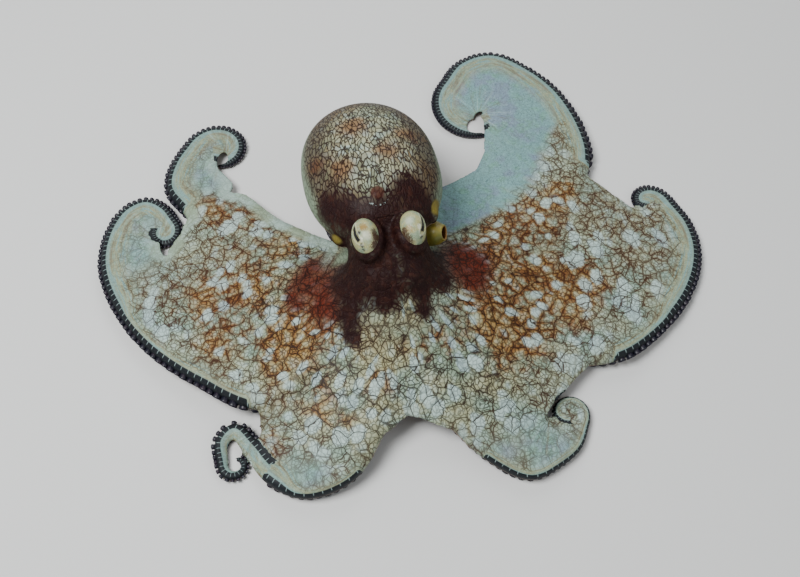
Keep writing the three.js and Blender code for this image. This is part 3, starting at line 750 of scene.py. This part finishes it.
def addFunnel():  # a bent tube, open at its far end
    route = np.array(funnelForm["route"], float)
    at = np.linspace(0, len(route) - 1, funnelForm["rings"])
    path = np.column_stack([valueAt(column, at) for column in route.T])
    path = np.vstack([path[:1], 0.25 * path[:-2] + 0.5 * path[1:-1] + 0.25 * path[2:], path[-1:]])
    radii = valueAt(funnelForm["radii"], at)
    along = np.gradient(path, axis=0)
    along /= np.linalg.norm(along, axis=1)[:, None]
    angle = turns(funnelForm["sides"])

    def ring(i, radius, shift=0.0):
        flat = np.array([-along[i][1], along[i][0], 0])
        flat /= np.linalg.norm(flat)
        up = np.cross(along[i], flat)
        ripple = 1 + funnelForm["ripple"] * np.sin(3 * angle + 1) * (i / len(path))
        spokes = np.cos(angle)[:, None] * flat + np.sin(angle)[:, None] * up
        return path[i] + shift * along[i] + spokes * (radius * ripple)[:, None]

    end, lip = len(path) - 1, funnelForm["wall"] / 2
    rings = [ring(i, radii[i]) for i in range(len(path))]
    for turn in funnelForm["lipTurns"]:
        bend = turn * math.pi
        rings.append(ring(end, radii[end] - lip + lip * math.cos(bend), lip * math.sin(bend)))
    rings += [ring(i, radii[i] - funnelForm["wall"]) for i in range(end, funnelForm["hollowFrom"] - 1, -1)]
    inside = [0.0] * len(path) + funnelForm["lipInside"] + [1.0] * (len(path) - funnelForm["hollowFrom"])
    piece = loft("siphon", rings)
    addField(piece, "inside", np.repeat(inside, funnelForm["sides"]))
    return piece


funnel = addFunnel()
print("funnel made")

# rings: radius and height of each, from the arms' roots to the beak
mouthForm = {"sides": 64, "frills": 16, "frill": 0.5, "beakFrom": 7,
             "rings": [(8.4, 24), (9.2, 20.5), (8.4, 18.4), (6.6, 17.4), (4.8, 18.0), (3.8, 19.4), (3.4, 20.6),
                       (3.1, 19.4), (2.4, 17.9), (1.5, 17.0), (0.6, 16.6)]}


def addMouth():  # frilled lips round a dark beak, on the underside
    angle = turns(mouthForm["sides"])
    rings = []
    for i, (radius, height) in enumerate(mouthForm["rings"]):
        frill = mouthForm["frill"] * np.cos(mouthForm["frills"] * angle) * (0 < i < mouthForm["beakFrom"] - 1)
        rings.append(np.column_stack([(radius + frill) * np.cos(angle), (radius + frill) * np.sin(angle),
                                      height - 0.5 * frill]))
    piece = loft("mouth", rings)
    beak = [float(i >= mouthForm["beakFrom"]) for i in range(len(mouthForm["rings"]))]
    addField(piece, "beak", np.repeat(beak, mouthForm["sides"]))
    return piece


mouthPiece = addMouth()
print("mouth made")


class Socket:  # a shader value; its operators add Math nodes
    def __init__(self, paint, link):
        self.paint = paint
        self.link = link

    def maths(self, operation, *values):
        return self.paint.add("ShaderNodeMath", {"operation": operation}, dict(enumerate(values)))

    def __add__(self, other):
        return self.maths("ADD", self, other)

    def __sub__(self, other):
        return self.maths("SUBTRACT", self, other)

    def __mul__(self, other):
        return self.maths("MULTIPLY", self, other)

    def __truediv__(self, other):
        return self.maths("DIVIDE", self, other)

    def __rsub__(self, other):
        return self.maths("SUBTRACT", other, self)

    __radd__ = __add__
    __rmul__ = __mul__

    def above(self, low, high):  # smooth step from 0 at low to 1 at high
        return self.paint.add("ShaderNodeMapRange", {"interpolation_type": "SMOOTHSTEP"},
                              {"Value": self, "From Min": low, "From Max": high})

    def below(self, high, low):  # smooth step from 1 at low to 0 at high
        return 1 - self.above(low, high)

    def atMost(self, other):
        return self.maths("MINIMUM", self, other)

    def atLeast(self, other):
        return self.maths("MAXIMUM", self, other)

class Paint:  # a material, and the nodes that its finish is mixed from
    def __init__(self, name):
        self.material = bpy.data.materials.new(name)
        self.material.use_nodes = True
        self.tree = self.material.node_tree
        self.surface = self.tree.nodes["Principled BSDF"]

    def add(self, kind, settings, inputs, output=0):
        node = self.tree.nodes.new(kind)
        for key, value in settings.items():
            setattr(node, key, value)
        self.fill(node, inputs)
        return Socket(self, node.outputs[output])

    def fill(self, node, inputs):
        for key, value in inputs.items():
            if isinstance(value, Socket):
                self.tree.links.new(value.link, node.inputs[key])
            else:
                node.inputs[key].default_value = value

    def field(self, name):
        return self.add("ShaderNodeAttribute", {"attribute_name": name}, {}, "Fac")

    def vectors(self, operation, first, second, output=0):
        return self.add("ShaderNodeVectorMath", {"operation": operation}, {0: first, 1: second}, output)

    def place(self, stretch=(1, 1, 1)):  # place on the piece in mm, scaled along each axis
        at = self.add("ShaderNodeTexCoord", {}, {}, "Object")
        return self.vectors("MULTIPLY", at, tuple(share / mm for share in stretch))

    def vector(self, x, y):
        return self.add("ShaderNodeCombineXYZ", {}, {"X": x, "Y": y})

    def shifted(self, at, size, amount):  # a place moved about by noise of that size
        wander = self.add("ShaderNodeTexNoise", {}, {"Vector": at, "Scale": 1 / size, "Detail": 2.0}, "Color")
        wander = self.vectors("SUBTRACT", wander, (0.5, 0.5, 0.5))
        wander = self.vectors("MULTIPLY", wander, (2 * amount, 2 * amount, 2 * amount))
        return self.vectors("ADD", at, wander)

    def noise(self, at, size, detail=3.0):
        inputs = {"Vector": at, "Scale": 1 / size, "Detail": detail, "Roughness": 0.55}
        return self.add("ShaderNodeTexNoise", {}, inputs)

    def cells(self, at, size, feature="F1", output="Distance"):
        inputs = {"Vector": at, "Scale": 1 / size}
        return self.add("ShaderNodeTexVoronoi", {"feature": feature}, inputs, output)

    def cellTone(self, at, size):  # one number from 0 to 1 for each cell
        return self.add("ShaderNodeSeparateColor", {}, {"Color": self.cells(at, size, output="Color")})

    def mix(self, first, second, share):
        return self.add("ShaderNodeMix", {"data_type": "RGBA"}, {0: share, 6: first, 7: second}, 2)

    def layers(self, colour, look, *coats):  # coats laid over a colour: the look's key, and how much of it
        for key, share in coats:
            colour = self.mix(colour, look[key], share)
        return colour

    def mixVector(self, first, second, share):
        return self.add("ShaderNodeMix", {"data_type": "VECTOR"}, {0: share, 4: first, 5: second}, 1)

    def bump(self, height, depth, strength=1.0):  # depth in mm for a height of 1
        inputs = {"Height": height, "Distance": depth * mm, "Strength": strength}
        return self.add("ShaderNodeBump", {}, inputs)

    def finish(self, colour, roughness, coat, coatRoughness, normal, **constants):
        self.fill(self.surface, {"Base Color": colour, "Roughness": roughness, "Coat Weight": coat,
                                 "Coat Roughness": coatRoughness, "Normal": normal, **constants})
        return self.material


def linear(value):
    return value / 255 / 12.92 if value <= 10 else ((value / 255 + 0.055) / 1.055) ** 2.4


def tone(*parts):  # red, green and blue on a scale of 0 to 255, as a linear colour
    return tuple(linear(part) for part in parts) + (1.0,)


skinLook = {
    "cream": tone(170, 168, 128), "green": tone(142, 162, 138), "white": tone(186, 210, 206),
    "cyan": tone(124, 164, 164), "ochre": tone(160, 124, 66), "orange": tone(122, 74, 32),
    "tan": tone(124, 110, 80), "rosy": tone(132, 114, 88), "lavender": tone(128, 150, 166),
    "seafoam": tone(118, 168, 144), "slate": tone(62, 80, 88), "red": tone(92, 26, 14),
    "maroon": tone(34, 12, 12), "line": tone(34, 17, 12), "brownLine": tone(56, 29, 16),
    # edge: near black, for the dark edge above the suckers, which is partly painted shade, and for the painted
    # shade line under the hem
    "umber": tone(58, 30, 22), "edge": tone(18, 15, 24), "below": tone(150, 126, 106),
    "mantleGrey": tone(120, 124, 98), "lip": tone(124, 112, 50), "papilla": tone(72, 34, 24),
    "black": tone(0, 0, 0),
}
# sizes of the marks, in mm; a pair is size along and across, or the size of a waver and how far it moves
skinMarks = {"slow": 24, "patchy": 8, "fine": 1.5, "grain": 0.45, "cloud": 17, "bigCell": 7.4,
             "smallCell": 2.5, "mantleCell": (2.1, 6.2, 1.5625), "wander": (11, 2.6), "waver": (2.2, 0.5),
             "blotch": 7.6, "blotchWander": (9, 2.4), "blotchTurn": 62, "blotchLong": 1.5, "band": (26, 2.2),
             "thread": (5, 0.55), "hatch": (0.8, 4), "rayTurn": 6, "rayLong": 26}
# distances in mm from an edge, a gathering place or the mouth: where a zone ends and where it is in full
skinZones = {"outer": (30, 6), "plain": (13, 8), "band": (22, 11), "coolRim": (7.5, 5.0), "hem": (12, 6),
             "hemRim": (8, 16), "hemLine": (1.3, 0.4), "gather": (40, 6), "cooler": (60, 120),
             "browner": (50, 120), "arcAhead": (-9.5, -11)}


def skinMaterial():
    look, marks, zones = skinLook, skinMarks, skinZones
    paint = Paint("octopus_skin")
    flat = paint.place((1, 1, 0.5))
    dark, red, warm, pale, cool = (paint.field(name) for name in ("dark", "red", "warm", "pale", "cool"))
    rim, margin, run, hem, far = (paint.field(name) / mm for name in ("rim", "margin", "run", "hem", "far"))
    gatherFar, gatherTurn = paint.field("gatherFar") / mm, paint.field("gatherTurn")
    turn, onMantle, paleHem = (paint.field(name) for name in ("turn", "onMantle", "paleHem"))
    offMantle = 1 - onMantle

    slow = paint.noise(flat, marks["slow"], 1.0)
    patchy = paint.noise(flat, marks["patchy"])
    fine = paint.noise(flat, marks["fine"], 2.0)
    grain = paint.noise(flat, marks["grain"], 1.0)
    patches = patchy - 0.5  # evenly about 0, to break up an edge

    # the net: large cells with small ones inside; on the mantle only cells drawn out along it
    webAt = paint.shifted(paint.shifted(flat, *marks["wander"]), *marks["waver"])
    stretch = tuple(marks["smallCell"] / size for size in marks["mantleCell"])
    mantleAt = paint.vectors("MULTIPLY", webAt, stretch)
    cellAt = paint.mixVector(webAt, mantleAt, onMantle.above(0.45, 0.55))
    bigEdge = paint.cells(webAt, marks["bigCell"], "DISTANCE_TO_EDGE")
    cellEdge = paint.cells(cellAt, marks["smallCell"], "DISTANCE_TO_EDGE")
    cell = paint.cellTone(cellAt, marks["smallCell"])
    cells = cell - 0.5

    # pale blotches that lie outward from the head
    outward = paint.vector(turn * marks["blotchTurn"], far / marks["blotchLong"])
    blotch = paint.cells(paint.shifted(outward, *marks["blotchWander"]), marks["blotch"])
    blotch = (blotch + 0.32 * patches).below(0.56, 0.14)

    outer = margin.below(*zones["outer"])
    bold = patchy.above(0.3, 0.7)
    hemBand = hem.below(*zones["hem"]) * rim.above(*zones["hemRim"]) * paleHem
    plain = (cool * 1.1 + hemBand * 0.9 + margin.below(*zones["plain"])).atMost(1.0)
    marked = 1 - plain
    bigLine = bigEdge.below(0.026 + 0.045 * bold, 0.008) * offMantle
    smallLine = (0.6 + 0.35 * bold + 0.5 * onMantle).atMost(1.0) * (1 - 0.5 * blotch * offMantle)
    smallLine = smallLine * cellEdge.below(0.15 + 0.02 * onMantle, 0.02)
    line = bigLine.atLeast(smallLine) * (1 - 0.3 * outer) * (1 - 0.75 * plain)
    stain = bigEdge.below(0.24, 0.02)
    centre = bigEdge.above(0.12, 0.4)

    # the webs and arms: a green and cream ground with warm patches, pale blotches and red beside the head
    colour = paint.mix(look["cream"], look["green"], slow.above(0.4, 0.62))
    tanned = (0.5 + 0.25 * stain + 1.2 * patches - 0.6 * pale).above(0.2, 0.9) * marked
    warmth = (warm * 0.8 + 1.3 * patches + 0.3 * cells + 0.1 * stain).above(0.26, 0.95) * (1 - 0.8 * plain)
    burnt = (cell * 0.4 + slow * 0.7 + red * 0.8 + 0.25 * stain).above(0.45, 1.0)
    whiteness = (blotch * (0.9 + 0.4 * pale - 0.2 * red) + pale * 0.45 + 0.12 * cells - 0.18).above(0.1, 0.7)
    colour = paint.layers(colour, look,
                          ("cyan", (0.2 * outer + 0.3 * far.above(*zones["cooler"])).atMost(1.0)),
                          ("rosy", tanned * 0.7))
    colour = paint.mix(colour, paint.mix(look["ochre"], look["orange"], burnt), warmth * 0.9)
    colour = paint.mix(colour, look["white"], centre * offMantle * marked * (0.18 + 0.4 * cell) * 0.6)
    colour = paint.mix(colour, paint.mix(look["white"], look["lavender"], slow.above(0.5, 0.7) * 0.4),
                       whiteness * offMantle * (1 - 0.9 * plain) * 0.84)
    colour = paint.layers(colour, look, ("red", (red + 0.5 * patches).above(0.1, 0.95) * 0.92),
                          ("umber", stain * offMantle * marked * (1 - 0.7 * whiteness) * 0.18))

    # the plain web at the rear: cool, cloudy and finely speckled
    cloud = paint.noise(flat, marks["cloud"], 2.0)
    coolTone = paint.layers(look["cyan"], look, ("lavender", cloud.above(0.42, 0.6)),
                            ("seafoam", patchy.above(0.48, 0.68) * 0.6),
                            ("slate", (fine * 0.5 + grain * 0.6).above(0.5, 0.75) * 0.55))
    colour = paint.mix(colour, coolTone, cool)

    # the mantle: brown and grey between its lines, pale and smooth low on its flanks; paler on top and darker
    # umber down its upper sides, partly its own colouring and partly painted shade
    up = paint.field("mantleUp")
    flank = onMantle * up.below(0.5, 0.2)
    mantleTan = paint.mix(look["tan"], look["mantleGrey"], slow.above(0.4, 0.6))
    mantlePale = paint.mix(look["white"], look["cream"], patchy.above(0.35, 0.6) * 0.8)
    # paler towards the top, and umber below it on the sides: partly painted shade
    mantleTone = paint.mix(mantleTan, mantlePale, (cell * 0.3 + patchy + 0.5 * up - 0.55).above(0.25, 0.9))
    mantleTone = paint.layers(mantleTone, look,
                              ("orange", (warm + 0.8 * patches + 0.3 * cell).above(0.45, 1.15) * 0.75),
                              ("umber", (patchy + 0.4 * cell + up.below(1.0, 0.65)).above(1.0, 1.7) * 0.65))
    colour = paint.mix(colour, mantleTone, onMantle)
    colour = paint.mix(colour, look["green"], flank * 0.8)
    line = line * (1 - 0.6 * flank)

    # the margin: soft bands and fine hatching along it
    bandTone = paint.noise(paint.vector(run / marks["band"][0], margin / marks["band"][1]), 1.0)
    thread = paint.noise(paint.vector(run / marks["thread"][0], margin / marks["thread"][1]), 1.0, 2.0)
    hatch = paint.noise(paint.vector(run / marks["hatch"][0], rim / marks["hatch"][1]), 1.0, 2.0)
    speckle = (fine * 0.6 + grain * 0.7).above(0.55, 0.85)
    marginTone = paint.layers(look["green"], look, ("cream", thread.above(0.4, 0.62)),
                              ("tan", (bandTone + 0.35 * (thread - 0.5)).above(0.5, 0.64) * 0.8),
                              ("cyan", bandTone.below(0.47, 0.36) * 0.85),
                              ("cyan", margin.below(*zones["coolRim"]) * 0.7),
                              ("slate", (speckle * 0.5 + hatch.above(0.5, 0.75) * 0.5) * 0.5))
    colour = paint.mix(colour, marginTone, margin.below(*zones["band"]) * offMantle * 0.85)

    # streaks that gather at the curls and notches, pale hems, the net's lines, the dark edge above the suckers
    # (partly the arm's own dark edge, partly painted shade of the suckers, with painted highlights between
    # them) and a painted shade line under the hem
    rays = paint.noise(paint.vector(gatherTurn * marks["rayTurn"], gatherFar / marks["rayLong"]), 1.0)
    gathering = gatherFar.below(*zones["gather"]) * offMantle
    hemTone = paint.mix(look["green"], look["white"], (slow + 0.5 * fine).above(0.6, 0.95) * 0.7)
    browner = (far.above(*zones["browner"]) + 0.9 * patches - 0.3 * pale).above(0.2, 0.9) * offMantle
    edge, between = paint.field("edge"), paint.field("sucker")
    between = between.maths("FRACT", between)
    # light notches between the suckers in the dark edge: painted highlights
    notch = between.above(0.43, 0.48) * between.below(0.57, 0.52) * edge.above(0.3, 0.5)
    colour = paint.layers(colour, look, ("white", rays.above(0.5, 0.75) * gathering * 0.6),
                          ("tan", rays.below(0.5, 0.25) * gathering * 0.8))
    colour = paint.mix(colour, hemTone, hemBand * 0.8 * (1 - 0.6 * cool))
    colour = paint.mix(colour, paint.mix(look["line"], look["brownLine"], browner), line * 0.94)
    # the dark edge above the suckers: partly the arm's own dark edge, partly painted shade of the suckers under
    # it
    edgeShadeTone = paint.mix(look["edge"], look["white"], notch * 0.5)
    colour = paint.mix(colour, edgeShadeTone, edge.below(1.06, 0.9) * 0.96)
    # a thin dark line along the hem where it is not pale: painted shade of the hem's underside
    colour = paint.mix(colour, look["edge"], hem.below(*zones["hemLine"]) * (1 - paleHem) * 0.85)

    # dark mask round the eyes, with pale specks that are partly painted glints of wet skin; its edge breaks up
    # into the net
    darkness = (dark * 1.25 + 0.6 * patches + 0.35 * cells + 0.25 * stain * dark).above(0.2, 1.05)
    browned = (patchy * 0.8 + cell * 0.3 + fine * 0.3).above(0.65, 1.05)
    colour = paint.layers(colour, look, ("umber", dark.above(0.08, 0.5) * 0.55),
                          ("maroon", line * dark.above(0.05, 0.3)))
    colour = paint.mix(colour, paint.mix(look["maroon"], look["umber"], browned), darkness * 0.99)
    # pale tan specks on the dark mask: partly painted glints
    colour = paint.mix(colour, look["tan"], grain.above(0.68, 0.78) * darkness * 0.5)

    # the papilla over the eyes, a broken pale arc ahead of it, and the underside
    at = paint.place()
    papilla = paint.vectors("DISTANCE", at, skinForm["papilla"], "Value")
    papilla = papilla / skinForm["papillaRadius"] + 0.25 * (fine - 0.5)
    ahead = paint.add("ShaderNodeSeparateXYZ", {}, {"Vector": at}, "Y").below(*zones["arcAhead"])
    arc = papilla.above(1.5, 1.62) * papilla.below(1.86, 1.74) * ahead * fine.above(0.48, 0.56)
    colour = paint.layers(colour, look, ("papilla", papilla.below(1.1, 0.85) * (1 - 0.4 * line) * 0.92),
                          ("white", arc * grain.above(0.42, 0.5) * 0.7),
                          ("lip", paint.field("lip").above(0.5, 0.75)),
                          ("below", paint.field("above").below(0.6, 0.1)),
                          ("black", (grain - 0.4).atLeast(0.0) * 0.5))

    pillow = bigEdge.above(0.0, 0.42) * (1 - outer) * offMantle
    relief = paint.bump((1 - line) * 0.5 + 0.9 * pillow + 0.2 * fine + 0.1 * grain, 0.7, 0.85)
    wetness = {"IOR": 1.33, "Specular IOR Level": 0.25}
    return paint.finish(colour, 0.45 + 0.25 * fine, 0.04, 0.25, relief, **wetness)


# the suckers' near-black walls are painted shade; their cups are pale
suckerLook = {"side": tone(20, 20, 34), "warmShadedSide": tone(44, 34, 46), "cup": tone(150, 140, 132)}


def suckerMaterial():
    paint = Paint("sucker_skin")
    mottle = paint.noise(paint.place(), 2.5)
    # dark walls, warm in places, as painted shade, with pale cups
    colour = paint.layers(suckerLook["side"], suckerLook, ("warmShadedSide", mottle.above(0.45, 0.7)),
                          ("cup", paint.field("cup")))
    return paint.finish(colour, 0.35 + 0.25 * mottle, 0.2, 0.25, paint.bump(mottle, 0.2), IOR=1.4)


eyeLook = {"pale": tone(168, 166, 112), "cool": tone(132, 152, 122), "ochre": tone(146, 114, 48),
           "brown": tone(62, 36, 20), "white": tone(206, 210, 186), "slit": tone(6, 5, 7),
           "iris": tone(150, 146, 104), "slitLong": (6.0, 5.2), "slitWide": (1.5, 1.0)}
eyeSpots = {  # colour, place and radius in mm, strength
    "right": [("ochre", (-27.4, -28.6, 87.2), 3.2, 0.85), ("white", (-26, -34, 86.5), 3.2, 0.6),
              ("brown", (-20.9, -34.4, 83.7), 3.8, 0.95), ("brown", (-22, -37.5, 81.5), 3.4, 0.95),
              ("brown", (-21.4, -31.8, 85.6), 2.9, 0.85), ("slit", (-30.1, -31, 85.5), 1.5, 1.0),
              ("white", (-30, -34.5, 84.5), 1.8, 0.9), ("slit", (-29.6, -37.2, 82.4), 1.6, 1.0),
              ("slit", (-29.4, -38.9, 80.2), 1.5, 1.0)],
    "left": [("white", (-2, -29, 88), 3.2, 0.6), ("ochre", (-2.8, -33.4, 85.8), 3.0, 0.6),
             ("brown", (-4.8, -37.1, 81.2), 5.0, 0.95), ("brown", (-5.4, -33.4, 83.6), 3.0, 0.9),
             ("slit", (5.1, -31.1, 86.1), 1.5, 1.0), ("white", (3.4, -33, 86), 1.7, 0.8),
             ("slit", (4.6, -34.4, 84.1), 1.4, 1.0), ("slit", (3.8, -37.6, 81.7), 1.5, 1.0)],
}


def eyeMaterial(side):
    paint = Paint("eye_" + side + "_skin")
    at = paint.place()
    soft = paint.noise(at, 5, 2.0)
    fine = paint.noise(paint.place((1.8, 0.5, 1)), 0.7)
    ragged = 0.6 * (soft - 0.5) + 1.8 * (fine - 0.5)
    colour = paint.layers(eyeLook["pale"], eyeLook, ("cool", soft.above(0.4, 0.65)),
                          ("white", fine.above(0.45, 0.7) * 0.4))
    for key, centre, radius, strength in eyeSpots[side]:
        offset = paint.vectors("DISTANCE", at, centre, "Value")
        colour = paint.mix(colour, eyeLook[key], (offset / radius + ragged).below(1.05, 0.5) * strength)
    opening, along, up = paint.field("opening"), paint.field("alongSlit") / mm, paint.field("upSlit") / mm
    slit = (up.maths("ABSOLUTE", up) + 1.2 * (fine - 0.5)).below(*eyeLook["slitWide"])
    slit = slit * along.maths("ABSOLUTE", along).below(*eyeLook["slitLong"]) * opening
    # the eye's lower side painted brown: painted shade where the eye sinks into the skin
    colour = paint.layers(colour, eyeLook, ("iris", opening * 0.5),
                          ("white", paint.field("lid").above(0.3, 0.9) * 0.5), ("slit", slit),
                          ("brown", paint.field("lowerShade").above(0.2, 0.9) * 0.9))
    relief = paint.bump(fine * (1 - opening), 0.25)
    return paint.finish(colour, 0.45 + 0.4 * slit, 0.12 - 0.12 * slit, 0.1, relief)


funnelLook = {"olive": tone(146, 132, 48), "green": tone(120, 122, 56), "brown": tone(134, 84, 34)}


def funnelMaterial():
    paint = Paint("funnel_skin")
    soft = paint.noise(paint.place(), 6)
    fine = paint.noise(paint.place(), 1.2)
    inner = (paint.field("inside") + 0.6 * (soft - 0.5)).above(0.3, 0.8)
    colour = paint.layers(funnelLook["olive"], funnelLook, ("green", soft.above(0.35, 0.7)),
                          ("brown", inner * 0.85))
    return paint.finish(colour, 0.35 + 0.2 * fine, 0.2, 0.2, paint.bump(fine, 0.2))


mouthLook = {"lip": tone(168, 146, 124), "fold": tone(112, 80, 66), "beak": tone(30, 18, 14)}


def mouthMaterial():
    paint = Paint("mouth_skin")
    mottle = paint.noise(paint.place(), 1.6)
    colour = paint.layers(mouthLook["lip"], mouthLook, ("fold", mottle.above(0.42, 0.68)),
                          ("beak", paint.field("beak").above(0.3, 0.7)))
    return paint.finish(colour, 0.3 + 0.3 * mottle, 0.2, 0.2, paint.bump(mottle, 0.25))


def dress(material, *pieces):
    for piece in pieces:
        piece.data.materials.clear()
        piece.data.materials.append(material)


dress(skinMaterial(), skin)
print("skin painted")
dress(suckerMaterial(), *suckerPieces)
dress(eyeMaterial("right"), eyes[0])
dress(eyeMaterial("left"), eyes[1])
dress(funnelMaterial(), funnel)
dress(mouthMaterial(), mouthPiece)
print("suckers, eyes, funnel and mouth painted")

camera = {"target": (-0.008, -0.035, 0.025), "distance": 0.56, "azimuth": -11, "elevation": 60, "lens": 42}


def addCamera():
    turn, lift = math.radians(camera["azimuth"]), math.radians(camera["elevation"])
    back = Vector((math.sin(turn) * math.cos(lift), -math.cos(turn) * math.cos(lift), math.sin(lift)))
    data = bpy.data.cameras.new("camera")
    data.lens = camera["lens"]
    holder = bpy.data.objects.new("camera", data)
    holder.location = Vector(camera["target"]) + camera["distance"] * back
    holder.rotation_euler = back.to_track_quat("Z", "Y").to_euler()
    bpy.context.scene.collection.objects.link(holder)
    bpy.context.scene.camera = holder


lamps = {
    "key": {"place": (-0.55, -0.1, 1.1), "size": 0.55, "power": 18.5},
    "fill": {"place": (0.9, -0.6, 0.8), "size": 0.9, "power": 4.0},
    "back": {"place": (0.2, 0.9, 0.8), "size": 0.8, "power": 5.0},
}
studio = {"light": (0.9, 0.95, 1.0, 1), "strength": 0.19, "floor": (0.72, 0.73, 0.72, 1), "floorSize": 6,
          "roughness": 0.9}


def addLamps():
    for name, lamp in lamps.items():
        data = bpy.data.lights.new(name, "AREA")
        data.size = lamp["size"]
        data.energy = lamp["power"]
        holder = bpy.data.objects.new(name, data)
        holder.location = lamp["place"]
        holder.rotation_euler = Vector(lamp["place"]).to_track_quat("Z", "Y").to_euler()
        bpy.context.scene.collection.objects.link(holder)
    world = bpy.data.worlds.new("studio")
    world.use_nodes = True
    background = world.node_tree.nodes["Background"]
    background.inputs["Color"].default_value = studio["light"]
    background.inputs["Strength"].default_value = studio["strength"]
    bpy.context.scene.world = world


def addFloor():
    deselectAll()
    bpy.ops.mesh.primitive_plane_add(size=studio["floorSize"])
    floor = bpy.context.object
    floor.name = "floor"
    plain = bpy.data.materials.new("floor")
    plain.use_nodes = True
    surface = plain.node_tree.nodes["Principled BSDF"]
    surface.inputs["Base Color"].default_value = studio["floor"]
    surface.inputs["Roughness"].default_value = studio["roughness"]
    floor.data.materials.append(plain)


addCamera()
addLamps()
addFloor()
fleshNodes = [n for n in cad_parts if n.split("_")[0] in ("head", "mantle", "arm", "web")]
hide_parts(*fleshNodes)
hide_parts("funnel")
for piece, node in zip(eyes, ("eye_right", "eye_left")):
    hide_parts(node)
for piece in [skin, funnel, mouthPiece] + suckerPieces + eyes:
    smoothShade(piece)
    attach(piece, "root")
